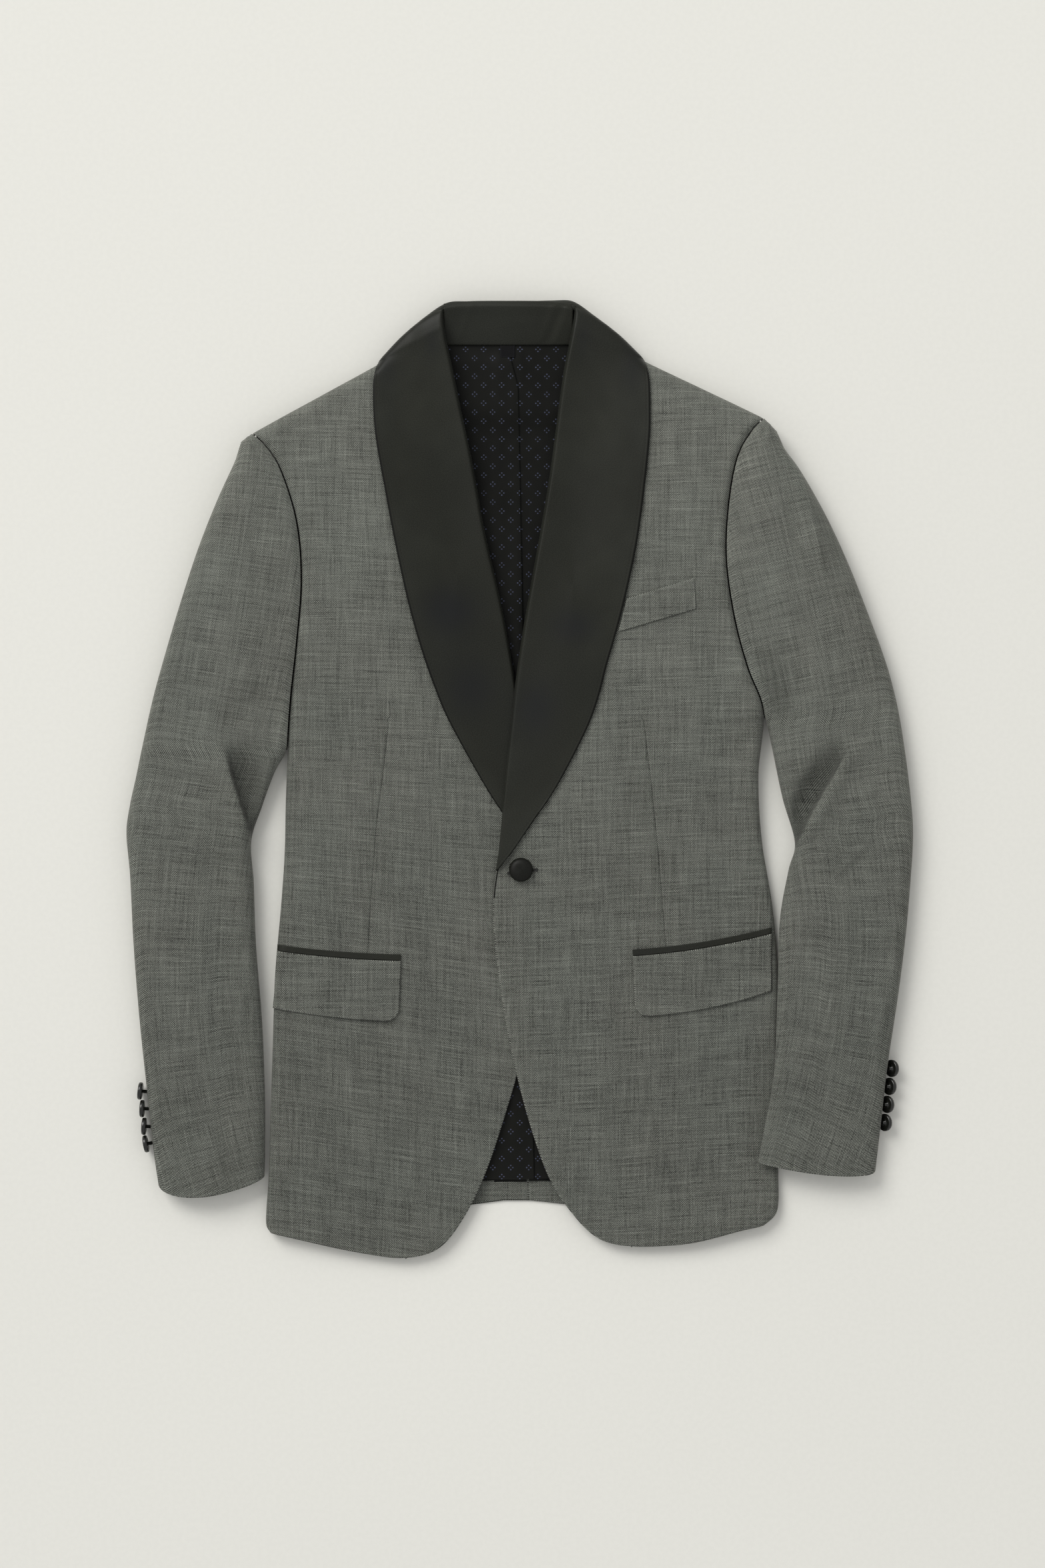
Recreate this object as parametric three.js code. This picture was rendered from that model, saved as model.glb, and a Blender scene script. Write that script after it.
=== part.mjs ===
// A tuxedo jacket with a satin shawl collar, buttoned once and laid flat on its back.
// Millimetres. +Z is up from the surface, +Y runs from the hem to the collar and +X is the wearer's left.
// The origin is at the middle of the jacket, on the surface it lies on.
import * as THREE from "three";

// Cloth thicknesses, each with the layers that are sewn into it.
const FRONT_CLOTH = 2.0;
const SLEEVE_CLOTH = 1.6;
const BACK_CLOTH = 1.8;
const LINING_CLOTH = 1.2;
const COLLAR_CLOTH = 2.2;
const STAND_CLOTH = 1.8;
const FLAP_CLOTH = 1.7;
const TRIM_CLOTH = 1.0;

// Gaps where pieces are sewn, and where one lies on another.
const SEAM = 0.35;
const LAY = 0.6;

// Half widths of the rounded edges where a layer turns under.
const BODY_ROLL = 9;
const SLEEVE_ROLL = 13;

// Angles round a rolled edge, in degrees from its top.
const ROLL_END = 112;
const UNDER_START = 119;
const SEAM_DIP = 48;
const UNDER_SEAM_DIP = 155;
const BACK_TURN_START = 127;
const SHOULDER_END_ROW = -0.22;

// The back, its lining and the side panels beneath.
const BACK_HEM_Y = -357;
const NECK_SEAM_Y = 373;
const BACK_HALF_WIDTH = 215;
const HEM_REVEAL = 18;
const CENTRE_SEAM = { topX: -8, hemX: 7 };
const SIDE_PANEL_WIDTH = 54;
const SIDE_PANEL_TOP_WIDTH = 15;
const COLLAR_UNDER_LIFT = 3;
const PLEAT = { overlap: 6, step: 1.7, fadeFrom: 296, fadeTo: 322, flatFrom: 338, flatTo: 358 };
const LINING_INSET = 5;
const LINING_LEAD = 26;

// Collar: how far it stands off the front, and the lip that turns over the front's edge.
const LAPEL_SPRING = { neck: 4.2, waist: 0.8, spread: 17 };
const LIP = { reach: 3.2, below: 1.5, angles: [100, 66, 33] };
const LAPEL_END = { right: 8.9, left: 9.5 };
const STAND = {
  left: -63.3, right: 43.3, lowY: 370.5, topY: 397.6, lowTop: 8.8, topTop: 15.3, narrow: 2.6, corner: 2.5,
};

// Buttons and the bare label tab.
const FRONT_BUTTON = { radius: 10.15, rise: 6.3, x: 1, y: -75, shank: 0.7 };
const CUFF_BUTTON = { radius: 7.4, rise: 3.6, shankRadius: 1.5 };
const LABEL = { x: -10.5, y: 365.2, width: 12.5, height: 9.6, thick: 0.8, top: 7.8 };

// Rows of the wearer's right front from the shoulder to the hem. Row 0 is the shoulder's outline, row 1 its
// crown and row 7 the armpit. side is the armhole, then the body's side. edge is the roll line, then the front
// edge. sideTop and edgeTop are heights above the surface, and lapel is the lapel's width from the roll.
const RIGHT_FRONT = [
  { sideX: -227, sideY: 295, edgeX: -71, edgeY: 381, sideTop: 24, edgeTop: 18, dome: 0, lapel: 61, bow: 0 },
  { sideX: -218, sideY: 287, edgeX: -65, edgeY: 372, sideTop: 24, edgeTop: 18, dome: 0, lapel: 67, bow: 0 },
  { sideX: -203, sideY: 265, edgeX: -54.5, edgeY: 322, sideTop: 24, edgeTop: 18, dome: 2, lapel: 72, bow: 0 },
  { sideX: -189, sideY: 220, edgeX: -43, edgeY: 268, sideTop: 23, edgeTop: 17, dome: 4, lapel: 73.5, bow: 0 },
  { sideX: -185, sideY: 170, edgeX: -33, edgeY: 212, sideTop: 22, edgeTop: 15, dome: 5, lapel: 72.5, bow: 0 },
  { sideX: -189, sideY: 118, edgeX: -19.5, edgeY: 153, sideTop: 21, edgeTop: 12.5, dome: 5, lapel: 72.5, bow: 0 },
  { sideX: -194, sideY: 72, edgeX: -8.7, edgeY: 96, sideTop: 19, edgeTop: 10, dome: 4, lapel: 66.5, bow: 0 },
  { sideX: -197, sideY: 30, edgeX: -0.5, edgeY: 46, sideTop: 18, edgeTop: 8.7, dome: 3, lapel: 55, bow: 0 },
  { sideX: -199, sideY: -15, edgeX: 11, edgeY: -14, sideTop: 17, edgeTop: 8.5, dome: 1, lapel: 34.5, bow: 0 },
  { sideX: -200, sideY: -60, edgeX: 17.5, edgeY: -62, sideTop: 16, edgeTop: 8.5, dome: 0, lapel: 8, bow: 0 },
  { sideX: -203, sideY: -106, edgeX: 21, edgeY: -104, sideTop: 16, edgeTop: 8.5, dome: 0, lapel: 0, bow: 0 },
  { sideX: -208, sideY: -165, edgeX: 14, edgeY: -165, sideTop: 16, edgeTop: 8.5, dome: 0, lapel: 0, bow: 0 },
  { sideX: -210, sideY: -225, edgeX: 3, edgeY: -228, sideTop: 15, edgeTop: 8.5, dome: 0, lapel: 0, bow: 0 },
  { sideX: -212, sideY: -285, edgeX: -12, edgeY: -282, sideTop: 14.5, edgeTop: 9, dome: 0, lapel: 0, bow: 0 },
  { sideX: -213.5, sideY: -335, edgeX: -30, edgeY: -335, sideTop: 14, edgeTop: 9.5, dome: 0, lapel: 0, bow: 0 },
  { sideX: -215.5, sideY: -364, edgeX: -49, edgeY: -373, sideTop: 13.5, edgeTop: 10, dome: 0, lapel: 0, bow: 0 },
  { sideX: -215.5, sideY: -377, edgeX: -69, edgeY: -397, sideTop: 13, edgeTop: 10, dome: 0, lapel: 0, bow: 0.5 },
  { sideX: -212, sideY: -384, edgeX: -97, edgeY: -408, sideTop: 12.5, edgeTop: 10, dome: 0, lapel: 0, bow: 1 },
];

// Rows of the wearer's left front, which buttons over the right one.
const LEFT_FRONT = [
  { sideX: 207, sideY: 308, edgeX: 57, edgeY: 380, sideTop: 24, edgeTop: 18, dome: 0, lapel: 66, bow: 0 },
  { sideX: 198, sideY: 299, edgeX: 45, edgeY: 371, sideTop: 24, edgeTop: 18, dome: 0, lapel: 71, bow: 0 },
  { sideX: 184, sideY: 274, edgeX: 37, edgeY: 324, sideTop: 24, edgeTop: 18.5, dome: 2, lapel: 76.5, bow: 0 },
  { sideX: 176.5, sideY: 232, edgeX: 29.5, edgeY: 266, sideTop: 23, edgeTop: 18.5, dome: 3, lapel: 77, bow: 0 },
  { sideX: 175, sideY: 187, edgeX: 20, edgeY: 208, sideTop: 22, edgeTop: 18, dome: 4, lapel: 78, bow: 0 },
  { sideX: 182, sideY: 138, edgeX: 9.5, edgeY: 150, sideTop: 21, edgeTop: 17.5, dome: 4, lapel: 76.5, bow: 0 },
  { sideX: 193, sideY: 97, edgeX: 1, edgeY: 96, sideTop: 20, edgeTop: 17, dome: 3, lapel: 71.5, bow: 0 },
  { sideX: 207, sideY: 57, edgeX: -5, edgeY: 46, sideTop: 19, edgeTop: 16, dome: 2, lapel: 64, bow: 0 },
  { sideX: 203, sideY: 5, edgeX: -12, edgeY: -12, sideTop: 17, edgeTop: 15.3, dome: 1, lapel: 41, bow: 0 },
  { sideX: 206, sideY: -50, edgeX: -17, edgeY: -58, sideTop: 14, edgeTop: 14.5, dome: 0, lapel: 13.5, bow: 0 },
  { sideX: 215, sideY: -106, edgeX: -23, edgeY: -106, sideTop: 10, edgeTop: 11.9, dome: 1, lapel: 0, bow: 0 },
  { sideX: 220, sideY: -165, edgeX: -18, edgeY: -165, sideTop: 8.5, edgeTop: 11.2, dome: 2, lapel: 0, bow: 0 },
  { sideX: 220, sideY: -225, edgeX: -8, edgeY: -225, sideTop: 8.5, edgeTop: 11, dome: 2, lapel: 0, bow: 0 },
  { sideX: 220, sideY: -285, edgeX: 7, edgeY: -286, sideTop: 8.6, edgeTop: 10.6, dome: 2, lapel: 0, bow: 0 },
  { sideX: 220, sideY: -335, edgeX: 25, edgeY: -337, sideTop: 9.6, edgeTop: 10.4, dome: 1, lapel: 0, bow: 0 },
  { sideX: 220, sideY: -358, edgeX: 46, edgeY: -369, sideTop: 11.5, edgeTop: 10.4, dome: 0, lapel: 0, bow: 1 },
  { sideX: 217, sideY: -369, edgeX: 67, edgeY: -388.5, sideTop: 12, edgeTop: 10.4, dome: 0, lapel: 0, bow: 2 },
  { sideX: 207, sideY: -378, edgeX: 95, edgeY: -398, sideTop: 12, edgeTop: 10.4, dome: 0, lapel: 0, bow: 3.5 },
];

// Rows of the sleeves. Rows 0 to 7 start at the armhole of the front's row with the same number, and the rest
// have their own inner edge. lift is how far the inner edge rides up on the body. bow curves the cuff's line.
const RIGHT_SLEEVE = [
  { outerX: -236.5, outerY: 288, top: 24, lift: 0, bow: 0 },
  { outerX: -241, outerY: 273, top: 25, lift: 0, bow: 0 },
  { outerX: -256, outerY: 240, top: 26, lift: 0, bow: 0 },
  { outerX: -272, outerY: 200, top: 26, lift: 0, bow: 0 },
  { outerX: -286, outerY: 158, top: 25, lift: 0, bow: 0 },
  { outerX: -299, outerY: 115, top: 24, lift: 0, bow: 0 },
  { outerX: -311, outerY: 72, top: 23, lift: 0, bow: 0 },
  { outerX: -320, outerY: 32, top: 22, lift: 0, bow: 0 },
  { innerX: -208, innerY: 8, outerX: -326, outerY: 3, top: 22, lift: 0, bow: 0 },
  { innerX: -219, innerY: -22, outerX: -331, outerY: -20, top: 22, lift: 0, bow: 0 },
  { innerX: -228, innerY: -51, outerX: -334, outerY: -44, top: 22, lift: 0, bow: 0 },
  { innerX: -226, innerY: -85, outerX: -331, outerY: -80, top: 21, lift: 0, bow: 0 },
  { innerX: -224, innerY: -140, outerX: -328, outerY: -140, top: 20, lift: 0, bow: 0 },
  { innerX: -219, innerY: -203, outerX: -323, outerY: -203, top: 19, lift: 0, bow: 0 },
  { innerX: -216.6, innerY: -265, outerX: -316.5, outerY: -265, top: 18, lift: 0, bow: 1 },
  { innerX: -216.4, innerY: -312, outerX: -311, outerY: -315, top: 18, lift: 0, bow: 6 },
  { innerX: -217, innerY: -336, outerX: -307, outerY: -342, top: 18, lift: 0, bow: 13 },
];

const LEFT_SLEEVE = [
  { outerX: 218, outerY: 297, top: 24, lift: 0, bow: 0 },
  { outerX: 224, outerY: 283, top: 25, lift: 0, bow: 0 },
  { outerX: 239, outerY: 262, top: 26, lift: 0, bow: 0 },
  { outerX: 260, outerY: 225, top: 26, lift: 0, bow: 0 },
  { outerX: 279, outerY: 184, top: 25, lift: 0, bow: 0 },
  { outerX: 298, outerY: 136, top: 24, lift: 0, bow: 0 },
  { outerX: 312, outerY: 97, top: 23, lift: 0, bow: 0 },
  { outerX: 321, outerY: 62, top: 22, lift: 0, bow: 0 },
  { innerX: 214, innerY: 29, outerX: 327, outerY: 26, top: 22, lift: 0, bow: 0 },
  { innerX: 223, innerY: -14, outerX: 332, outerY: -14, top: 22, lift: 0, bow: 0 },
  { innerX: 233.5, innerY: -52, outerX: 334, outerY: -45, top: 22, lift: 0, bow: 0 },
  { innerX: 228, innerY: -76, outerX: 332, outerY: -82, top: 22, lift: 2, bow: 0 },
  { innerX: 220.5, innerY: -118, outerX: 328, outerY: -128, top: 22, lift: 9, bow: 0 },
  { innerX: 218.5, innerY: -180, outerX: 321.5, outerY: -180, top: 22, lift: 9.4, bow: 0 },
  { innerX: 215.5, innerY: -248, outerX: 312, outerY: -244, top: 21, lift: 9.6, bow: 0 },
  { innerX: 207, innerY: -296, outerX: 306, outerY: -297, top: 20, lift: 11, bow: 3 },
  { innerX: 202, innerY: -323, outerX: 302, outerY: -331, top: 20, lift: 11.4, bow: 6 },
];

// Folds in the sleeves, each from one point to another. rise is negative for a trough.
const SLEEVE_FOLDS = [
  { fromX: -251, fromY: 26, toX: -229, toY: -50, rise: 3.2, width: 9 },
  { fromX: -238, fromY: 34, toX: -222, toY: -30, rise: -5, width: 12 },
  { fromX: -226, fromY: 110, toX: -203, toY: 40, rise: -2.5, width: 11 },
  { fromX: -262, fromY: 150, toX: -246, toY: 90, rise: -1.6, width: 16 },
  { fromX: 281, fromY: 26, toX: 238, toY: -50, rise: 4, width: 9 },
  { fromX: 262, fromY: 16, toX: 232, toY: -36, rise: -6, width: 11 },
  { fromX: 246, fromY: 150, toX: 228, toY: 40, rise: -2.6, width: 11 },
  { fromX: 240, fromY: 262, toX: 258, toY: 168, rise: 2, width: 9 },
  { fromX: 300, fromY: -40, toX: 258, toY: -88, rise: -2.4, width: 12 },
];

// The collar round the neck, from the shoulder to the centre back. roll is its upper fold, turn the outline
// where it turns under, and tail its outer edge beneath the back.
const RIGHT_NECK = [
  { rollX: -67, rollY: 384, turnX: -121, turnY: 357.5, tailX: -124, tailY: 350, rollTop: 25, turnTop: 26 },
  { rollX: -67.5, rollY: 393, turnX: -104, turnY: 374, tailX: -114, tailY: 350, rollTop: 23, turnTop: 25 },
  { rollX: -66, rollY: 399, turnX: -82, turnY: 393, tailX: -98, tailY: 351, rollTop: 20, turnTop: 21 },
  { rollX: -57, rollY: 400, turnX: -60, turnY: 407, tailX: -72, tailY: 353, rollTop: 17, turnTop: 17 },
  { rollX: -34, rollY: 400, turnX: -34, turnY: 407.5, tailX: -38, tailY: 355, rollTop: 16, turnTop: 16 },
  { rollX: -9.7, rollY: 400, turnX: -9.7, turnY: 408, tailX: -9.7, tailY: 356, rollTop: 16, turnTop: 16 },
];

const LEFT_NECK = [
  { rollX: 47.5, rollY: 384, turnX: 106.5, turnY: 360, tailX: 111, tailY: 352, rollTop: 25, turnTop: 26 },
  { rollX: 49, rollY: 394, turnX: 88, turnY: 376, tailX: 100, tailY: 352, rollTop: 23, turnTop: 25 },
  { rollX: 48, rollY: 400, turnX: 65, turnY: 394, tailX: 82, tailY: 352, rollTop: 20, turnTop: 21 },
  { rollX: 41, rollY: 401, turnX: 44, turnY: 408, tailX: 58, tailY: 354, rollTop: 17, turnTop: 17 },
  { rollX: 20, rollY: 400.5, turnX: 20, turnY: 408, tailX: 24, tailY: 355, rollTop: 16, turnTop: 16 },
  { rollX: -9.3, rollY: 400, turnX: -9.3, turnY: 408, tailX: -9.3, tailY: 356, rollTop: 16, turnTop: 16 },
];

// Patches sewn on the fronts: the top line from x0, y0 to x1, y1 and the bottom line from x2, y2 to x3, y3.
// topSag and lowSag bow those lines towards the hem.
const PATCHES = [
  { name: "flap_right", on: "right", x0: -101, y0: -152.4, x1: -204.6, y1: -144, x2: -103, y2: -203.5,
    x3: -207.6, y3: -192.5, topSag: 1.5, lowSag: 3.5, round: 11, thick: FLAP_CLOTH, satin: false },
  { name: "flap_left", on: "left", x0: 96, y0: -148.4, x1: 213.6, y1: -129.4, x2: 98, y2: -199.5,
    x3: 213.6, y3: -178, topSag: 3, lowSag: 4.5, round: 11, thick: FLAP_CLOTH, satin: false },
  { name: "pocket_jet_right", on: "right", x0: -101, y0: -146.8, x1: -204.6, y1: -138.6, x2: -101, y2: -152,
    x3: -204.6, y3: -143.6, topSag: 1.5, lowSag: 1.5, round: 0, thick: TRIM_CLOTH, satin: true },
  { name: "pocket_jet_left", on: "left", x0: 95.5, y0: -142.8, x1: 213.6, y1: -124, x2: 96, y2: -148,
    x3: 213.6, y3: -129, topSag: 3, lowSag: 3, round: 0, thick: TRIM_CLOTH, satin: true },
  { name: "breast_welt", on: "left", x0: 90.4, y0: 154.5, x1: 147, y1: 172, x2: 83.4, y2: 126.5,
    x3: 149, y3: 146, topSag: 0, lowSag: 0, round: 0, thick: TRIM_CLOTH, satin: false },
];

// Cuff buttons, by the middle of the disc. tilt turns the face down from level, in degrees.
const CUFF_BUTTONS = [
  { name: "cuff_button_right_1", x: -322.6, y: -263, z: 9.2, tilt: 0, shank: 4.1 },
  { name: "cuff_button_right_2", x: -321, y: -278, z: 9.2, tilt: 0, shank: 4.1 },
  { name: "cuff_button_right_3", x: -319.4, y: -293, z: 9.2, tilt: 0, shank: 4.1 },
  { name: "cuff_button_right_4", x: -317.9, y: -308, z: 9.2, tilt: 0, shank: 4.1 },
  { name: "cuff_button_left_1", x: 316.4, y: -244, z: 7.4, tilt: 40, shank: 1.8 },
  { name: "cuff_button_left_2", x: 314.4, y: -259.3, z: 7.4, tilt: 40, shank: 1.8 },
  { name: "cuff_button_left_3", x: 312.5, y: -274.6, z: 7.4, tilt: 40, shank: 1.75 },
  { name: "cuff_button_left_4", x: 310.6, y: -290, z: 7.4, tilt: 40, shank: 1.5 },
];

const radians = THREE.MathUtils.degToRad;
const mix = THREE.MathUtils.lerp;
const ease = THREE.MathUtils.smoothstep;
const clamp = THREE.MathUtils.clamp;
const ARMPIT_ROW = 7;
const HEM_ROW = RIGHT_FRONT.length - 1;
const CUFF_ROW = RIGHT_SLEEVE.length - 1;

// One column of a table as a smooth curve through its rows, read at any row position.
function column(table, name, row) {
  const last = table.length - 1;
  const at = clamp(row, 0, last);
  const i = Math.min(Math.floor(at), last - 1);
  const t = at - i;
  const p1 = table[i][name];
  const p2 = table[i + 1][name];
  const p0 = i > 0 ? table[i - 1][name] : 2 * p1 - p2;
  const p3 = i + 2 <= last ? table[i + 2][name] : 2 * p2 - p1;
  const m1 = (p2 - p0) / 2;
  const m2 = (p3 - p1) / 2;
  const t2 = t * t;
  const t3 = t2 * t;
  return (2 * t3 - 3 * t2 + 1) * p1 + (t3 - 2 * t2 + t) * m1 + (3 * t2 - 2 * t3) * p2 + (t3 - t2) * m2;
}

// Evenly spaced values, both ends included.
function steps(from, to, count) {
  return Array.from({ length: count + 1 }, (_, i) => mix(from, to, i / count));
}

function outwardOf(table) {
  return Math.sign(table[HEM_ROW].sideX);
}

// 0 where the front and the sleeve are sewn together, 1 where each has its own rolled edge.
function freedom(row) {
  return ease(row, ARMPIT_ROW - 0.35, ARMPIT_ROW + 0.6);
}

// The shoulder's turn, in degrees from its crown.
function shoulderTurn(row) {
  return row >= 1 ? 0 : 90 * (1 - row);
}

// The share of the height that is left at an angle round a rolled edge.
function heightShare(angle) {
  return (1 + Math.cos(radians(angle))) / 2;
}

// A point between two columns of a table, on the shoulder's turn or on the smooth curve below it.
function rowPoint(table, nameX, nameY, row) {
  if (row >= 1) return new THREE.Vector2(column(table, nameX, row), column(table, nameY, row));
  const reach = Math.sin(radians(shoulderTurn(row)));
  const [outline, crown] = table;
  return new THREE.Vector2(mix(crown[nameX], outline[nameX], reach), mix(crown[nameY], outline[nameY], reach));
}

// How far in from its widest line a rolled edge is at an angle, when it ends at the angle end.
function rollInset(angle, end, roll) {
  const reach = end >= 90 ? 1 : Math.sin(radians(end));
  return roll * (reach - Math.sin(radians(angle)));
}

// Height change from the sleeve's folds at a point.
function foldHeight(x, y) {
  let sum = 0;
  for (const fold of SLEEVE_FOLDS) {
    const alongX = fold.toX - fold.fromX;
    const alongY = fold.toY - fold.fromY;
    const length = Math.hypot(alongX, alongY);
    const t = ((x - fold.fromX) * alongX + (y - fold.fromY) * alongY) / (length * length);
    const off = ((x - fold.fromX) * -alongY + (y - fold.fromY) * alongX) / length;
    const taper = ease(t, -0.15, 0.3) * (1 - ease(t, 0.85, 1.2));
    sum += fold.rise * taper * Math.exp(-((off / fold.width) ** 2));
  }
  return sum;
}

function bodyRoll(sideTop) {
  return Math.min(BODY_ROLL, sideTop * 0.6);
}

function frontRollEnd(row) {
  return mix(SEAM_DIP, ROLL_END, freedom(row));
}

// The front's outer face. across runs from 0 at the front edge to 1 over the top and to 2 round the rolled
// side.
function frontPoint(table, row, across) {
  const side = rowPoint(table, "sideX", "sideY", row);
  const edge = rowPoint(table, "edgeX", "edgeY", row);
  const sideTop = column(table, "sideTop", row);
  const edgeTop = column(table, "edgeTop", row);
  const roll = bodyRoll(sideTop);
  const end = frontRollEnd(row);
  const inward = edge.clone().sub(side);
  const span = inward.length();
  inward.normalize();
  const topSpan = span - rollInset(0, end, roll) - SEAM / 2;
  const shoulder = heightShare(shoulderTurn(row));
  const hang = column(table, "bow", row) * Math.sin(Math.PI * clamp(across, 0, 1)) ** 2;
  if (across <= 1) {
    const height = mix(edgeTop, sideTop, ease(across, 0.12, 0.9));
    const dome = column(table, "dome", row) * Math.sin(Math.PI * Math.max(across, 0)) ** 2;
    const at = edge.clone().addScaledVector(inward, -topSpan * across);
    return new THREE.Vector3(at.x, at.y - hang, (height + dome) * shoulder);
  }
  const angle = end * (across - 1);
  const at = side.clone().addScaledVector(inward, rollInset(angle, end, roll) + SEAM / 2);
  return new THREE.Vector3(at.x, at.y, sideTop * heightShare(angle) * shoulder);
}

// A point of a face and its direction across the cloth, found by small steps along it.
function frame(face, u, v) {
  const step = 0.01;
  const alongU = face(u + step, v).sub(face(u - step, v));
  const alongV = face(u, v + step).sub(face(u, v - step));
  return { at: face(u, v), normal: alongU.cross(alongV).normalize() };
}

// The front's frame, with the direction pointing out of the cloth.
function frontFrame(table, row, across) {
  const found = frame((u, v) => frontPoint(table, u, v), row, across);
  found.normal.multiplyScalar(outwardOf(table));
  return found;
}

// The front's frame under a point seen from above.
function onFront(table, x, y) {
  const outward = outwardOf(table);
  let across = 0.5;
  let row = 8;
  for (let round = 0; round < 8; round += 1) {
    let [low, high] = [1, HEM_ROW];
    for (let halving = 0; halving < 26; halving += 1) {
      row = (low + high) / 2;
      if (frontPoint(table, row, across).y > y) low = row;
      else high = row;
    }
    [low, high] = [0, 1.78];
    for (let halving = 0; halving < 26; halving += 1) {
      across = (low + high) / 2;
      if (frontPoint(table, row, across).x * outward < x * outward) low = across;
      else high = across;
    }
  }
  return frontFrame(table, row, across);
}

// Frames of a face at every pair of a row value and a column value.
function grid(face, rows, columns) {
  return rows.map((u) => columns.map((v) => frame(face, u, v)));
}

// Frames of a grid of points, from the directions to the neighbours of each.
function framesOf(points) {
  const direction = (from, to) => to.clone().sub(from).normalize();
  const along = (list, i) => {
    const sum = new THREE.Vector3();
    if (i > 0) sum.add(direction(list[i - 1], list[i]));
    if (i < list.length - 1) sum.add(direction(list[i], list[i + 1]));
    return sum;
  };
  return points.map((line, i) =>
    line.map((at, j) => {
      const down = along(points.map((other) => other[j]), i);
      return { at, normal: down.cross(along(line, j)).normalize() };
    }),
  );
}

// A closed cloth wall: the frames' points on one face, and those points moved by the thickness on the other.
function wall(frames, thickness) {
  const rows = frames.length;
  const columns = frames[0].length;
  const outer = frames.flat().map(({ at }) => at);
  const inner = frames.flat().map(({ at, normal }) => at.clone().addScaledVector(normal, thickness));
  const vertices = [...outer, ...inner];
  const at = (i, j, layer) => layer * outer.length + i * columns + j;
  const faces = [];
  const quad = (a, b, c, d) => faces.push(a, b, c, a, c, d);
  for (let i = 0; i < rows - 1; i += 1) {
    for (let j = 0; j < columns - 1; j += 1) {
      quad(at(i, j, 0), at(i, j + 1, 0), at(i + 1, j + 1, 0), at(i + 1, j, 0));
      quad(at(i, j, 1), at(i + 1, j, 1), at(i + 1, j + 1, 1), at(i, j + 1, 1));
    }
    quad(at(i, 0, 0), at(i + 1, 0, 0), at(i + 1, 0, 1), at(i, 0, 1));
    quad(at(i, columns - 1, 0), at(i, columns - 1, 1), at(i + 1, columns - 1, 1), at(i + 1, columns - 1, 0));
  }
  for (let j = 0; j < columns - 1; j += 1) {
    quad(at(0, j, 0), at(0, j, 1), at(0, j + 1, 1), at(0, j + 1, 0));
    quad(at(rows - 1, j, 0), at(rows - 1, j + 1, 0), at(rows - 1, j + 1, 1), at(rows - 1, j, 1));
  }
  return solid(vertices, faces);
}

// A closed body from its corners, turned to face outwards.
function solid(vertices, faces) {
  let volume = 0;
  for (let f = 0; f < faces.length; f += 3) {
    const [a, b, c] = faces.slice(f, f + 3).map((i) => vertices[i]);
    volume += a.dot(b.clone().cross(c)) / 6;
  }
  if (volume < 0) faces.reverse();
  const geometry = new THREE.BufferGeometry();
  const positions = vertices.flatMap((vertex) => vertex.toArray());
  geometry.setAttribute("position", new THREE.Float32BufferAttribute(positions, 3));
  geometry.setIndex(faces);
  geometry.computeVertexNormals();
  return geometry;
}

// A body turned round the Z axis from a profile of radius and height that starts and ends on the axis.
function turned(profile, segments) {
  const [first, ...rest] = profile;
  const last = rest.pop();
  const vertices = [new THREE.Vector3(0, 0, first[1])];
  for (const [radius, height] of rest) {
    for (let s = 0; s < segments; s += 1) {
      const angle = (2 * Math.PI * s) / segments;
      vertices.push(new THREE.Vector3(radius * Math.cos(angle), radius * Math.sin(angle), height));
    }
  }
  vertices.push(new THREE.Vector3(0, 0, last[1]));
  const at = (ring, s) => 1 + ring * segments + (s % segments);
  const faces = [];
  for (let s = 0; s < segments; s += 1) {
    faces.push(0, at(0, s + 1), at(0, s));
    for (let ring = 0; ring < rest.length - 1; ring += 1) {
      faces.push(at(ring, s), at(ring, s + 1), at(ring + 1, s + 1));
      faces.push(at(ring, s), at(ring + 1, s + 1), at(ring + 1, s));
    }
    faces.push(vertices.length - 1, at(rest.length - 1, s), at(rest.length - 1, s + 1));
  }
  return solid(vertices, faces);
}

const MATERIALS = {
  wool: { color: 0x6a6c67, roughness: 0.9, metalness: 0 },
  satin: { color: 0x1c1d1a, roughness: 0.45, metalness: 0 },
  lining: { color: 0x141512, roughness: 0.6, metalness: 0 },
  label: { color: 0x0c0c0d, roughness: 0.7, metalness: 0 },
};

const jacket = new THREE.Group();

function piece(name, geometry, look) {
  const mesh = new THREE.Mesh(geometry, new THREE.MeshStandardMaterial(MATERIALS[look]));
  mesh.name = name;
  jacket.add(mesh);
  return mesh;
}

const SIDES = [
  { side: "right", frontTable: RIGHT_FRONT, sleeveTable: RIGHT_SLEEVE, neckTable: RIGHT_NECK, outward: -1 },
  { side: "left", frontTable: LEFT_FRONT, sleeveTable: LEFT_SLEEVE, neckTable: LEFT_NECK, outward: 1 },
];

// Rows that pieces sewn to each other share.
const ARMHOLE_ROWS = [0.1, 0.5, 1, 1.6, 2.2, 2.9, 3.6, 4.3, 5, 5.7, 6.3, 6.75, ARMPIT_ROW];
const BODY_SIDE_ROWS = [7.12, 7.4, 7.8, 8.2, 9, 10, 11, 12, 13, 14, 15, 16, HEM_ROW];

// Fronts.
const FRONT_ROWS = [SHOULDER_END_ROW, ...ARMHOLE_ROWS, ...BODY_SIDE_ROWS.slice(1)];
const FRONT_ACROSS = [...steps(0, 1, 9), 1.16, 1.32, 1.48, 1.7, 2];

for (const { side, frontTable, outward } of SIDES) {
  const frames = grid((row, across) => frontPoint(frontTable, row, across), FRONT_ROWS, FRONT_ACROSS);
  piece(`front_${side}`, wall(frames, -FRONT_CLOTH * outward), "wool");
}

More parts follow.
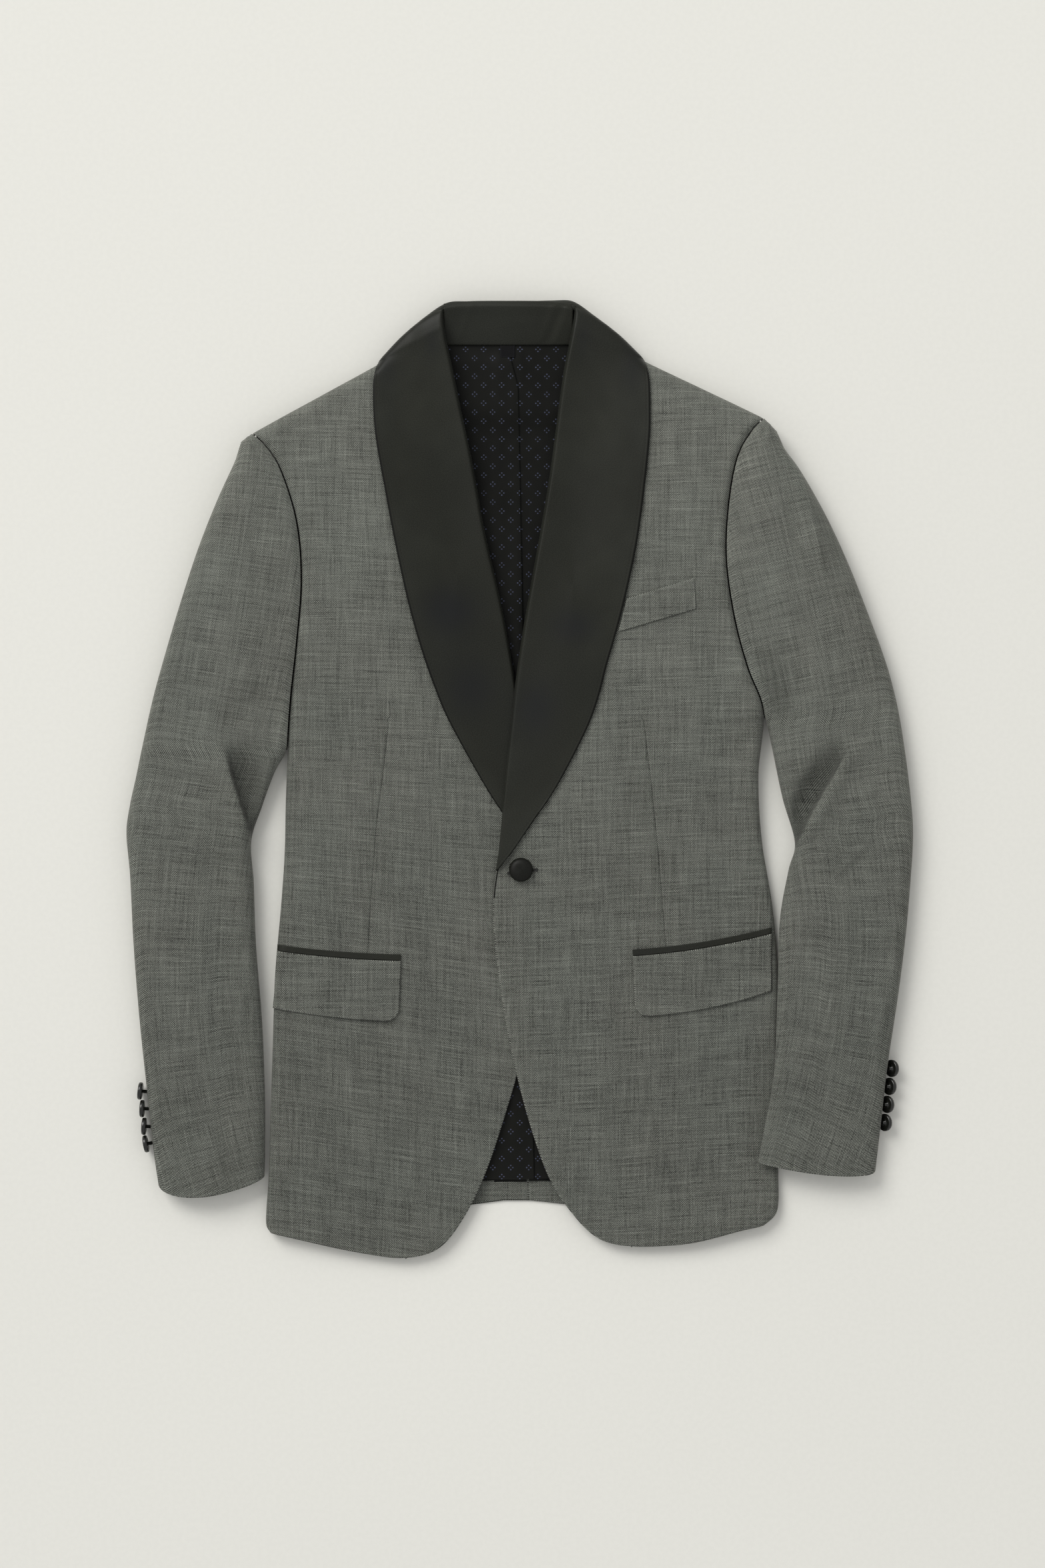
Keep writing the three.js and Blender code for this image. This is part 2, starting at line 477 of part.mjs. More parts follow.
// The line of the back's hem is nearer the collar than the fronts' hem, the more so the further in it is.
function underHemY(table, row, y, fromSide) {
  const rise = BACK_HEM_Y - table[HEM_ROW].sideY;
  return y + rise * ease(row, 12, HEM_ROW) * Math.min(1, fromSide / BACK_HALF_WIDTH);
}

// How far the side panel reaches in beneath the body.
function tuckWidth(row) {
  return mix(SIDE_PANEL_TOP_WIDTH, SIDE_PANEL_WIDTH, ease(row, 7.1, 8.2));
}

// Side panels: across runs from 0 at the front's seam to 1 at the foot of the roll and to 2 at the back's seam.
function sidePoint(table, row, across) {
  const side = rowPoint(table, "sideX", "sideY", row);
  const sideTop = column(table, "sideTop", row);
  const roll = bodyRoll(sideTop);
  const start = frontRollEnd(row) + (UNDER_START - ROLL_END);
  const angle = mix(start, 180, Math.min(across, 1));
  const atFoot = rollInset(180, 180, roll) + SEAM / 2;
  const inset = across <= 1
    ? rollInset(angle, 180, roll) + SEAM / 2
    : mix(atFoot, tuckWidth(row), across - 1);
  const y = underHemY(table, row, side.y, inset);
  return new THREE.Vector3(side.x - outwardOf(table) * inset, y, sideTop * heightShare(angle));
}

const SIDE_ACROSS = [0, 0.3, 0.6, 1, 1.5, 2];

for (const { side, frontTable, outward } of SIDES) {
  const frames = grid((row, across) => sidePoint(frontTable, row, across), BODY_SIDE_ROWS, SIDE_ACROSS);
  piece(`side_panel_${side}`, wall(frames, -BACK_CLOTH * outward), "wool");
}

// The back lies on the surface, and rises over the collar's leaf beneath its neck.
function backLift(x, y, lead) {
  return COLLAR_UNDER_LIFT * ease(y, 322 - lead, 342 - lead) * (1 - ease(Math.abs(x), 134 + lead, 160 + lead));
}

function centreX(y) {
  return mix(CENTRE_SEAM.hemX, CENTRE_SEAM.topX, (y - BACK_HEM_Y) / (NECK_SEAM_Y - BACK_HEM_Y));
}

// A place on the back as seen from above. share is 0 at the armhole or the side panel, NECK_SHARE at the end of
// the shoulder and 1 at the centre. inset narrows it at the side, and overlap moves it past the centre.
const NECK_SHARE = 0.74;

function backPlace(table, row, share, inset, overlap) {
  const outward = outwardOf(table);
  const side = rowPoint(table, "sideX", "sideY", row);
  const tuck = row < ARMPIT_ROW ? SIDE_PANEL_TOP_WIDTH * ease(row, 6.75, ARMPIT_ROW) : tuckWidth(row);
  const rise = (NECK_SEAM_Y + 0.5 - table[1].sideY) * (1 - ease(row, 1, 5));
  const y = side.y + rise * Math.min(1, share / NECK_SHARE);
  const sideX = side.x - outward * (tuck + inset + SEAM);
  const x = mix(sideX, centreX(y) - outward * overlap, share);
  return new THREE.Vector2(x, underHemY(table, row, y, Math.abs(side.x - x)));
}

// The back's lower face. turn runs from 0 at the shoulder seam to 1 at the crown's line, and on as rows.
function backPoint(table, turn, share) {
  const row = Math.max(turn, 1);
  const place = backPlace(table, row, share, 0, -SEAM / 2);
  const lift = backLift(place.x, place.y, 0);
  const angle = mix(BACK_TURN_START, 180, Math.min(turn, 1));
  const [outline, crown] = table;
  const alongShoulder = Math.min(1, share / NECK_SHARE);
  const turning = 1 - ease(share, 0.5, NECK_SHARE);
  const reach = Math.sin(radians(angle)) * turning;
  const reachX = mix(outline.sideX - crown.sideX, outline.edgeX - crown.edgeX, alongShoulder);
  const reachY = mix(outline.sideY - crown.sideY, outline.edgeY - crown.edgeY, alongShoulder);
  const top = mix(crown.edgeTop, crown.sideTop, ease(1 - alongShoulder, 0.12, 0.9));
  const spare = turn < 1 ? (1 - turn) * 1.2 * (1 - turning) : 0;
  const height = lift + Math.max(0, top * heightShare(angle) - lift * 0.5) * turning;
  return new THREE.Vector3(place.x + reachX * reach, place.y + reachY * reach + spare, height);
}

const BACK_ROWS = [0, 0.4, 0.75, ...ARMHOLE_ROWS.slice(2), ...BODY_SIDE_ROWS];
const BACK_SHARES = [0, 0.2, 0.4, 0.57, NECK_SHARE, 0.87, 1];

for (const { side, frontTable, outward } of SIDES) {
  const frames = grid((turn, share) => backPoint(frontTable, turn, share), BACK_ROWS, BACK_SHARES);
  piece(`back_${side}`, wall(frames, -BACK_CLOTH * outward), "wool");
}

// Lining over the back. The right half folds over the left one at the centre pleat, and both end above the hem.
function liningPoint(table, row, share, pleated) {
  const spot = backPlace(table, row, share, LINING_INSET, 0);
  const fold = pleated * (1 - ease(spot.y, PLEAT.fadeFrom, PLEAT.fadeTo));
  const place = backPlace(table, row, share, LINING_INSET, mix(-SEAM / 2, PLEAT.overlap, fold));
  const y = mix(place.y, Math.max(place.y, BACK_HEM_Y + HEM_REVEAL), ease(row, 13, 14));
  const rise = pleated * (1 - ease(spot.y, PLEAT.flatFrom, PLEAT.flatTo)) * PLEAT.step * ease(share, 0.6, 0.96);
  const height = backLift(place.x, place.y, LINING_LEAD) + BACK_CLOTH + LAY + LINING_CLOTH + rise;
  return new THREE.Vector3(place.x, y, height);
}

const LINING_ROWS = [1, 1.5, 2, 2.6, 3.2, 4, 5, 6, 7, 8.2, 9.5, 11, 12, 13, 14];
const LINING_SHARES = [0, 0.3, 0.6, 0.78, 0.96, 1];

for (const { side, frontTable, outward } of SIDES) {
  const pleated = side === "right" ? 1 : 0;
  const face = (row, share) => liningPoint(frontTable, row, share, pleated);
  piece(`back_lining_${side}`, wall(grid(face, LINING_ROWS, LINING_SHARES), LINING_CLOTH * outward), "lining");
}

// Sleeves. The inner edge is at the armhole down to the armpit, then on its own line.
function sleeveSection(sleeveTable, frontTable, row) {
  const outward = outwardOf(frontTable);
  const linked = sleeveTable.map((own, i) => ({
    ...own,
    innerX: own.innerX ?? frontTable[i].sideX + outward * (SEAM / 2),
    innerY: own.innerY ?? frontTable[i].sideY,
  }));
  const atArmhole = rowPoint(frontTable, "sideX", "sideY", row);
  atArmhole.x += outward * (SEAM / 2);
  const top = column(sleeveTable, "top", row);
  const turn = heightShare(shoulderTurn(row));
  return {
    inner: row <= ARMPIT_ROW ? atArmhole : rowPoint(linked, "innerX", "innerY", row),
    outer: rowPoint(linked, "outerX", "outerY", row),
    top: top * turn,
    floor: top * (1 - turn),
    lift: column(sleeveTable, "lift", row),
    bow: column(sleeveTable, "bow", row),
    free: freedom(row),
  };
}

// The sleeve's outer face. across runs from -1 to 0 on the inner roll, to 1 on the flat and to 2 on the
// outer roll.
function sleevePoint(sleeveTable, frontTable, row, across, under) {
  const { inner, outer, top, floor, lift, bow, free } = sleeveSection(sleeveTable, frontTable, row);
  const run = outer.clone().sub(inner);
  const span = run.length();
  run.normalize();
  const roll = Math.min(SLEEVE_ROLL, span * 0.4);
  const rest = under ? 180 : 0;
  const innerEnd = under ? mix(UNDER_SEAM_DIP, UNDER_START, free) : mix(SEAM_DIP, ROLL_END, free);
  const outerEnd = under ? UNDER_START : ROLL_END;
  const widest = under ? Math.min(180 - innerEnd, 90) : innerEnd;
  const flatStart = rollInset(0, free > 0.5 ? 90 : widest, roll);
  let angle = rest;
  let along = mix(flatStart, span - roll, across);
  if (across < 0) {
    angle = mix(rest, innerEnd, -across);
    along = rollInset(angle, free > 0.5 ? 90 : widest, roll);
  } else if (across > 1) {
    angle = mix(rest, outerEnd, across - 1);
    along = span - rollInset(angle, 90, roll);
  }
  const q = clamp(along / span, 0, 1);
  const bottom = floor + lift * (1 - ease(q, 0.04, 0.5));
  const share = heightShare(angle);
  const x = inner.x + run.x * along;
  const y = inner.y + run.y * along - bow * Math.sqrt(Math.max(0, Math.sin(Math.PI * q ** 1.4)));
  const crown = under ? 0 : 2.2 * Math.sin(Math.PI * clamp(across, 0, 1));
  const folds = under ? 0 : foldHeight(x, y) * ease(across, -0.9, 0.1) * (1 - ease(across, 1, 1.9));
  return new THREE.Vector3(x, y, bottom + (top - bottom) * share + crown + folds);
}

const UPPER_ROWS = [...ARMHOLE_ROWS, ...steps(7.6, CUFF_ROW, 15)];
const UPPER_ACROSS = [-1, -0.68, -0.34, ...steps(0, 1, 7), 1.34, 1.68, 2];
const UNDER_ROWS = [...ARMHOLE_ROWS.slice(1), ...steps(8, CUFF_ROW, 8)];
const UNDER_ACROSS = [-1, -0.5, 0, 0.5, 1, 1.5, 2];

for (const { side, frontTable, sleeveTable, outward } of SIDES) {
  const upper = grid((u, v) => sleevePoint(sleeveTable, frontTable, u, v, false), UPPER_ROWS, UPPER_ACROSS);
  const under = grid((u, v) => sleevePoint(sleeveTable, frontTable, u, v, true), UNDER_ROWS, UNDER_ACROSS);
  piece(`sleeve_upper_${side}`, wall(upper, -SLEEVE_CLOTH * outward), "wool");
  piece(`sleeve_under_${side}`, wall(under, SLEEVE_CLOTH * outward), "wool");
}

// Height of the lapel's face above the front's, springing up towards the roll line.
function lapelRaise(row, distance) {
  const spring = mix(LAPEL_SPRING.neck, LAPEL_SPRING.waist, ease(row, 1, 6.5));
  return COLLAR_CLOTH + 1.4 * LAY + spring * Math.exp(-distance / LAPEL_SPRING.spread);
}

// A section of the lapel from its lip over the roll line to its outer edge. Above the shoulder's crown the
// outer part goes round the shoulder while the roll moves on towards the neck.
const LAPEL_COLUMNS = 7;

function lapelSection(table, row) {
  const rollRow = Math.max(row, 1);
  const width = Math.max(column(table, "lapel", row), 3);
  const edge = rowPoint(table, "edgeX", "edgeY", rollRow);
  const side = rowPoint(table, "sideX", "sideY", rollRow);
  const away = edge.clone().sub(side).normalize();
  const topSpan = edge.distanceTo(side) - BODY_ROLL;
  const raise = lapelRaise(rollRow, 0);
  const top = column(table, "edgeTop", rollRow) + raise;
  const drop = raise + LIP.below;
  const shift = (rollRow - row) * 6;
  const lip = LIP.angles.map((angle) => {
    const out = LIP.reach * Math.sin(radians(angle));
    const down = drop * (1 - Math.cos(radians(angle)));
    return new THREE.Vector3(edge.x + away.x * out, edge.y + away.y * out + shift, top - down);
  });
  const lay = steps(0, 1, LAPEL_COLUMNS).map((t) => {
    const rowHere = mix(rollRow, row, ease(t, 0, 0.8));
    const { at, normal } = frontFrame(table, rowHere, (width * t) / topSpan);
    at.addScaledVector(normal, lapelRaise(rollRow, width * t));
    at.y += shift * (1 - t) ** 2;
    return at;
  });
  return [...lip, ...lay];
}

// A section of the collar round the neck, from the roll over the top layer and the turn to the tail beneath.
function neckSection(table, row) {
  const at = (...names) => new THREE.Vector3(...names.map((name) => column(table, name, row)));
  const roll = at("rollX", "rollY", "rollTop");
  const turn = at("turnX", "turnY", "turnTop");
  const tail = at("tailX", "tailY").setZ(0);
  const toRoll = new THREE.Vector3(roll.x - turn.x, roll.y - turn.y, 0);
  const toTail = new THREE.Vector3(tail.x - turn.x, tail.y - turn.y, 0);
  const topInset = Math.min(9, toRoll.length() * 0.5);
  const tailInset = Math.min(9, toTail.length() * 0.6);
  toRoll.normalize();
  toTail.normalize();
  const round = (inset, direction, share) =>
    new THREE.Vector3(turn.x, turn.y, turn.z * share).addScaledVector(direction, inset);
  const curve = new THREE.CatmullRomCurve3([
    roll,
    round(topInset, toRoll, 1),
    round(topInset * 0.3, toRoll, 0.86),
    round(0, toRoll, 0.5),
    round(tailInset * 0.3, toTail, 0.14),
    round(tailInset, toTail, 0),
    tail,
  ], false, "centripetal");
  const stand = ease(row, 1.6, 3);
  const lip = LIP.angles.map((angle, i) => {
    const flat = LIP.angles.length - i;
    const out = mix(LIP.reach * Math.sin(radians(angle)), flat * 0.6, stand);
    const down = mix(7 * (1 - Math.cos(radians(angle))), flat * 0.16, stand);
    return roll.clone().addScaledVector(toRoll, out).setZ(roll.z - down);
  });
  return [...lip, ...curve.getSpacedPoints(LAPEL_COLUMNS).map((p) => p.setZ(Math.max(p.z, 0)))];
}

const NECK_ROWS = [0, 0.35, 0.7, 1.1, 1.5, 1.9, 2.3, 2.7, 3.1, 3.7, 4.3, 5];

for (const { side, frontTable, neckTable, outward } of SIDES) {
  const lapelRows = [...steps(LAPEL_END[side], 2, 15), 1.5, 1, 0.6, 0.2, -0.2];
  const sections = [
    ...lapelRows.map((row) => lapelSection(frontTable, row)),
    ...NECK_ROWS.map((row) => neckSection(neckTable, row)),
  ];
  piece(`collar_${side}`, wall(framesOf(sections), COLLAR_CLOTH * outward), "satin");
}

// The stand rises from the neck seam to the collar's fold.
function standPoint(u, v) {
  const left = STAND.left + STAND.narrow * u;
  const right = STAND.right - STAND.narrow * u;
  const topY = STAND.topY - STAND.corner * (2 * v - 1) ** 4;
  return new THREE.Vector3(mix(left, right, v), mix(STAND.lowY, topY, u), mix(STAND.lowTop, STAND.topTop, u));
}

piece("collar_stand", wall(grid(standPoint, steps(0, 1, 4), steps(0, 1, 10)), STAND_CLOTH), "satin");

// Pocket flaps, jets and the breast welt lie on the fronts' own points, moved out.
const PATCH_ROWS = [0, 0.3, 0.6, 0.8, 0.92, 0.98, 1];
const PATCH_COLUMNS = [0, 0.16, 0.32, 0.48, 0.62, 0.76, 0.86, 0.92, 0.96, 1];

for (const patch of PATCHES) {
  const { frontTable, outward } = SIDES.find(({ side }) => side === patch.on);
  const height = Math.hypot(patch.x2 - patch.x0, patch.y2 - patch.y0);
  const width = Math.hypot(patch.x1 - patch.x0, patch.y1 - patch.y0);
  const rows = patch.round > 0 ? PATCH_ROWS : [0, 0.5, 1];
  const frames = rows.map((v) => {
    const into = Math.max(0, v * height - (height - patch.round));
    const start = (patch.round - Math.sqrt(patch.round ** 2 - into ** 2)) / width;
    return PATCH_COLUMNS.map((t) => {
      const u = mix(start, 1, t);
      const bow = 4 * u * (1 - u) * mix(patch.topSag, patch.lowSag, v);
      const x = mix(mix(patch.x0, patch.x1, u), mix(patch.x2, patch.x3, u), v);
      const y = mix(mix(patch.y0, patch.y1, u), mix(patch.y2, patch.y3, u), v) - bow;
      const { at, normal } = onFront(frontTable, x, y);
      return { at: at.addScaledVector(normal, LAY + patch.thick), normal: normal.multiplyScalar(-1) };
    });
  });
  piece(patch.name, wall(frames, patch.thick), patch.satin ? "satin" : "wool");
}

// Buttons.
const BUTTON_PROFILE = [[0, 0], [0.9, 0], [1, 0.2], [1, 0.42], [0.92, 0.68], [0.7, 0.88], [0.36, 0.97], [0, 1]];
const CUFF_PROFILE = [[0.94, 0], [1, 0.3], [0.97, 0.72], [0.85, 0.94], [0.6, 0.9], [0, 0.86]];

const frontProfile = BUTTON_PROFILE.map(([r, h]) => [r * FRONT_BUTTON.radius, h * FRONT_BUTTON.rise]);
const frontButton = turned(frontProfile, 28);
const frontButtonSeat = onFront(LEFT_FRONT, FRONT_BUTTON.x, FRONT_BUTTON.y).at.z + FRONT_BUTTON.shank;
piece("front_button", frontButton.translate(FRONT_BUTTON.x, FRONT_BUTTON.y, frontButtonSeat), "satin");

for (const { name, x, y, z, tilt, shank } of CUFF_BUTTONS) {
  const { radius, rise, shankRadius } = CUFF_BUTTON;
  const disc = CUFF_PROFILE.map(([r, h]) => [r * radius, (h - 0.5) * rise]);
  const back = -0.5 * rise;
  const button = turned([[0, back - shank], [shankRadius, back - shank], [shankRadius, back], ...disc], 18);
  const outward = Math.sign(x);
  button.rotateY(outward * radians(90 + tilt));
  piece(name, button.translate(x, y, z), "satin");
}

// The label's bare tab at the neck seam.
const label = new THREE.BoxGeometry(LABEL.width, LABEL.height, LABEL.thick);
piece("neck_label", label.translate(LABEL.x, LABEL.y, LABEL.top - LABEL.thick / 2), "label");

export default jacket;
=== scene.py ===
"""A grey wool tuxedo jacket with a black satin shawl collar, buttoned once and laid flat."""

import bmesh
import bpy
import numpy as np
from mathutils import Matrix


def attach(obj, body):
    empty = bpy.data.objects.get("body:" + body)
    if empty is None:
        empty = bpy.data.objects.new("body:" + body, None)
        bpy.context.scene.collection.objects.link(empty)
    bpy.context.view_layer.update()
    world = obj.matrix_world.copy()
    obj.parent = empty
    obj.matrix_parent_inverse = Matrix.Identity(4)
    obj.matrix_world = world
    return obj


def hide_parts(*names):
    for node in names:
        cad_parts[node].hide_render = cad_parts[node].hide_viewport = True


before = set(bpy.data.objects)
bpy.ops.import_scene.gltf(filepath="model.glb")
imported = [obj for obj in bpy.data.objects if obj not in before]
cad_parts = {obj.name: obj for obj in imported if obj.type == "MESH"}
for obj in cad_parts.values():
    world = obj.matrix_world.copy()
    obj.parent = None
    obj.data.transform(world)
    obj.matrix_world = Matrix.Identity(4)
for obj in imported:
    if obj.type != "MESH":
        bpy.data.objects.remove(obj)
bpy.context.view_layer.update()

bl_info = {
    "name": "Laid tuxedo jacket",
    "version": (1, 0, 0),
    "blender": (4, 5, 0),
    "location": "View3D > Sidebar > Tuxedo",
    "description": "Builds the cloth, trimmings, light and camera of a tuxedo jacket laid flat",
    "category": "Add Mesh",
}

MM = 0.001
# The middle of the view on the surface, in metres.
VIEW_MIDDLE = (0.0023, -0.0023)

# Thickness of each cloth, in millimetres, as in the frame's solids.
FRONT_CLOTH = 2.0
SLEEVE_CLOTH = 1.6
BACK_CLOTH = 1.8
LINING_CLOTH = 1.2
COLLAR_CLOTH = 2.2
STAND_CLOTH = 1.8
FLAP_CLOTH = 1.7
TRIM_CLOTH = 1.0
# Gaps across a seam, and between a piece and the one it lies on.
SEAM = 0.35
LAY = 0.6
# Radii of the rolled edges, and the degrees round them at which pieces end and begin.
BODY_ROLL = 9
SLEEVE_ROLL = 13
ROLL_END = 112
UNDER_START = 119
SEAM_DIP = 48
UNDER_SEAM_DIP = 155
BACK_TURN_START = 127
# Rows at which parts of the tables end.
SHOULDER_END_ROW = -0.22
ARMPIT_ROW = 7
FRONT_LINING_ROW = 16.1
CUFF_ROW = 16
HEM_ROW = 17
# Lines and widths of the back, the side panels and the lining.
BACK_HEM_Y = -357
NECK_SEAM_Y = 373
BACK_HALF_WIDTH = 215
HEM_REVEAL = 18
CENTRE_SEAM_TOP_X = -8
CENTRE_SEAM_HEM_X = 7
SIDE_PANEL_WIDTH = 54
SIDE_PANEL_TOP_WIDTH = 15
# The back lies over the collar's tail: how high, and between which distances it comes down again.
COLLAR_UNDER_LIFT = 3
LIFT_Y = (322, 342)
LIFT_X = (134, 160)
# The fronts: where the facing ends, how far out the dart and the flap's turn are.
FACING_SHARE = 0.34
DART_OUT = 110
FLAP_TURN_OUT = 208
SHOULDER_FALL = 12.7
PUCKER_PITCH = 11
# The lapel's narrowing point, and its lip beneath the roll line.
LAPEL_TIP_ROWS = 0.38
LIP_REACH = 3.2
LIP_ANGLES = np.radians(np.linspace(100, 12, 8))
# The share of the neck's section that faces up, and the share of the back's top that is shoulder.
NECK_FACE = 0.68
NECK_SHARE = 0.74
# How the wool's threads turn towards each hem.
GRAIN_TURN = {"right": 0.13, "left": -0.03}
# The lining's distance from the side seam, and how much earlier it rises over the collar's tail.
LINING_INSET = 5
LINING_LEAD = 26


def table(names, *rows):
    """Columns of numbers by name, one number for each row."""
    return dict(zip(names.split(), np.array(rows, float).T))


FRONT_NAMES = "side_x side_y edge_x edge_y side_top edge_top dome lapel bow"
RIGHT_FRONT = table(
    FRONT_NAMES,
    (-227, 295, -71, 381, 24, 18, 0, 55, 0),
    (-218, 287, -65, 372, 24, 18, 0, 67, 0),
    (-203, 265, -54.5, 322, 24, 18, 2, 72, 0),
    (-189, 220, -43, 268, 23, 17, 4, 73.5, 0),
    (-185, 170, -33, 212, 22, 15, 5, 72.5, 0),
    (-189, 118, -19.5, 153, 21, 12.5, 5, 72.5, 0),
    (-194, 72, -8.7, 96, 19, 10, 4, 66.5, 0),
    (-197, 30, -0.5, 46, 18, 8.7, 3, 55, 0),
    (-199, -15, 11, -14, 17, 8.5, 1, 34.5, 0),
    (-200, -60, 17.5, -62, 16, 8.5, 0, 8, 0),
    (-203, -106, 21, -104, 16, 8.5, 0, 0, 0),
    (-208, -165, 14, -165, 16, 8.5, 0, 0, 0),
    (-210, -225, 3, -228, 15, 8.5, 0, 0, 0),
    (-212, -285, -12, -282, 14.5, 9, 0, 0, 0),
    (-213.5, -335, -30, -335, 14, 9.5, 0, 0, 0),
    (-215.5, -364, -49, -373, 13.5, 10, 0, 0, 0),
    (-215.5, -377, -69, -397, 13, 10, 0, 0, 0.5),
    (-212, -384, -97, -408, 12.5, 10, 0, 0, 1),
)
LEFT_FRONT = table(
    FRONT_NAMES,
    (207, 308, 57, 380, 24, 18, 0, 58, 0),
    (198, 299, 45, 371, 24, 18, 0, 71, 0),
    (184, 274, 37, 324, 24, 18.5, 2, 76.5, 0),
    (176.5, 232, 29.5, 266, 23, 18.5, 3, 77, 0),
    (175, 187, 20, 208, 22, 18, 4, 78, 0),
    (182, 138, 9.5, 150, 21, 17.5, 4, 76.5, 0),
    (193, 97, 1, 96, 20, 17, 3, 71.5, 0),
    (207, 57, -5, 46, 19, 16, 2, 64, 0),
    (203, 5, -12, -12, 17, 15.3, 1, 41, 0),
    (206, -50, -17, -58, 14, 14.5, 0, 12.4, 0),
    (215, -106, -23, -106, 10, 11.9, 1, 0, 0),
    (220, -165, -18, -165, 8.5, 11.2, 2, 0, 0),
    (220, -225, -8, -225, 8.5, 11, 2, 0, 0),
    (220, -285, 7, -286, 8.6, 10.6, 2, 0, 0),
    (220, -335, 25, -337, 9.6, 10.4, 1, 0, 0),
    (220, -358, 46, -369, 11.5, 10.4, 0, 0, 1),
    (217, -369, 67, -388.5, 12, 10.4, 0, 0, 2),
    (207, -378, 95, -398, 12, 10.4, 0, 0, 3.5),
)

# Rows 0 to 7 of a sleeve start at the armhole, so their inner points come from the front.
SLEEVE_NAMES = "inner_x inner_y outer_x outer_y top lift bow"
RIGHT_SLEEVE = table(
    SLEEVE_NAMES,
    (0, 0, -236.5, 288, 24, 0, 0),
    (0, 0, -241, 273, 25, 0, 0),
    (0, 0, -256, 240, 26, 0, 0),
    (0, 0, -272, 200, 26, 0, 0),
    (0, 0, -286, 158, 25, 0, 0),
    (0, 0, -299, 115, 24, 0, 0),
    (0, 0, -311, 72, 23, 0, 0),
    (0, 0, -320, 32, 22, 0, 0),
    (-208, 8, -326, 3, 22, 0, 0),
    (-219, -22, -331, -20, 22, 0, 0),
    (-228, -51, -334, -44, 22, 0, 0),
    (-226, -85, -331, -80, 21, 0, 0),
    (-224, -140, -328, -140, 20, 0, 0),
    (-219, -203, -323, -203, 19, 0, 0),
    (-216.6, -265, -316.5, -265, 18, 0, 1),
    (-216.4, -312, -311, -315, 18, 0, 6),
    (-217, -336, -307, -342, 18, 0, 13),
)
LEFT_SLEEVE = table(
    SLEEVE_NAMES,
    (0, 0, 218, 297, 24, 0, 0),
    (0, 0, 224, 283, 25, 0, 0),
    (0, 0, 239, 262, 26, 0, 0),
    (0, 0, 260, 225, 26, 0, 0),
    (0, 0, 279, 184, 25, 0, 0),
    (0, 0, 298, 136, 24, 0, 0),
    (0, 0, 312, 97, 23, 0, 0),
    (0, 0, 321, 62, 22, 0, 0),
    (214, 29, 327, 26, 22, 0, 0),
    (223, -14, 332, -14, 22, 0, 0),
    (233.5, -52, 334, -45, 22, 0, 0),
    (228, -76, 332, -82, 22, 2, 0),
    (220.5, -118, 328, -128, 22, 9, 0),
    (218.5, -180, 321.5, -180, 22, 9.4, 0),
    (215.5, -248, 312, -244, 21, 9.6, 0),
    (207, -296, 306, -297, 20, 11, 3),
    (202, -323, 302, -331, 20, 11.4, 6),
)

NECK_NAMES = "roll_x roll_y turn_x turn_y tail_x tail_y roll_top turn_top"
RIGHT_NECK = table(
    NECK_NAMES,
    (-67, 384, -120.2, 356.6, -123.4, 349.5, 24.4, 19.5),
    (-67.5, 393, -104, 374, -114, 350, 22.6, 19),
    (-66, 399, -82, 393, -98, 351, 20, 18.5),
    (-57, 400, -60, 407, -72, 353, 17, 17),
    (-34, 400, -34, 407.5, -38, 355, 16, 16),
    (-9.7, 400, -9.7, 408, -9.7, 356, 16, 16),
)
LEFT_NECK = table(
    NECK_NAMES,
    (47.5, 384, 105.8, 359, 110.3, 351.3, 24.4, 19.5),
    (49, 394, 88, 376, 100, 352, 22.6, 19),
    (48, 400, 65, 394, 82, 352, 20, 18.5),
    (41, 401, 44, 408, 58, 354, 17, 17),
    (20, 400.5, 20, 408, 24, 355, 16, 16),
    (-9.3, 400, -9.3, 408, -9.3, 356, 16, 16),
)

# Each side of the jacket, the wearer's right first. last_row is where its lapel ends on the front.
SIDES = {
    "right": {"out": -1, "front": RIGHT_FRONT, "sleeve": RIGHT_SLEEVE, "neck": RIGHT_NECK, "last_row": 8.9},
    "left": {"out": 1, "front": LEFT_FRONT, "sleeve": LEFT_SLEEVE, "neck": LEFT_NECK, "last_row": 9.38},
}

# Patches on the fronts: corners of the top line, then of the low line, and how those lines sag.
PATCHES = {
    "flap_right": {"on": "right", "top": (-101, -152.4, -204.6, -144), "low": (-103, -203.5, -207.6, -192.5),
                   "sag": (1.5, 2.0), "round": 11, "thick": FLAP_CLOTH},
    "flap_left": {"on": "left", "top": (96, -148.4, 213.6, -129.4), "low": (98, -199.5, 213.6, -178),
                  "sag": (3, 4.5), "round": 11, "thick": FLAP_CLOTH},
    "pocket_jet_right": {"on": "right", "top": (-101, -146.8, -204.6, -138.6),
                         "low": (-101, -152, -204.6, -143.6), "sag": (1.5, 1.5), "round": 0,
                         "thick": TRIM_CLOTH},
    "pocket_jet_left": {"on": "left", "top": (95.5, -142.8, 213.6, -124), "low": (96, -148, 213.6, -129),
                        "sag": (3, 3), "round": 0, "thick": TRIM_CLOTH},
    "breast_welt": {"on": "left", "top": (90.4, 154.5, 147, 172), "low": (83.4, 126.5, 149, 146),
                    "sag": (0, 0), "round": 0, "thick": TRIM_CLOTH},
}

# Middle of each cuff button, its tilt in degrees and the length of its shank.
CUFF_BUTTONS = {
    "cuff_button_right_1": (-322.6, -263, 9.2, 0, 4.1),
    "cuff_button_right_2": (-321, -278, 9.2, 0, 4.1),
    "cuff_button_right_3": (-319.4, -293, 9.2, 0, 4.1),
    "cuff_button_right_4": (-317.9, -308, 9.2, 0, 4.1),
    "cuff_button_left_1": (316.4, -244, 7.4, 40, 1.8),
    "cuff_button_left_2": (314.4, -259.3, 7.4, 40, 1.8),
    "cuff_button_left_3": (312.5, -274.6, 7.4, 40, 1.75),
    "cuff_button_left_4": (310.6, -290, 7.4, 40, 1.5),
}

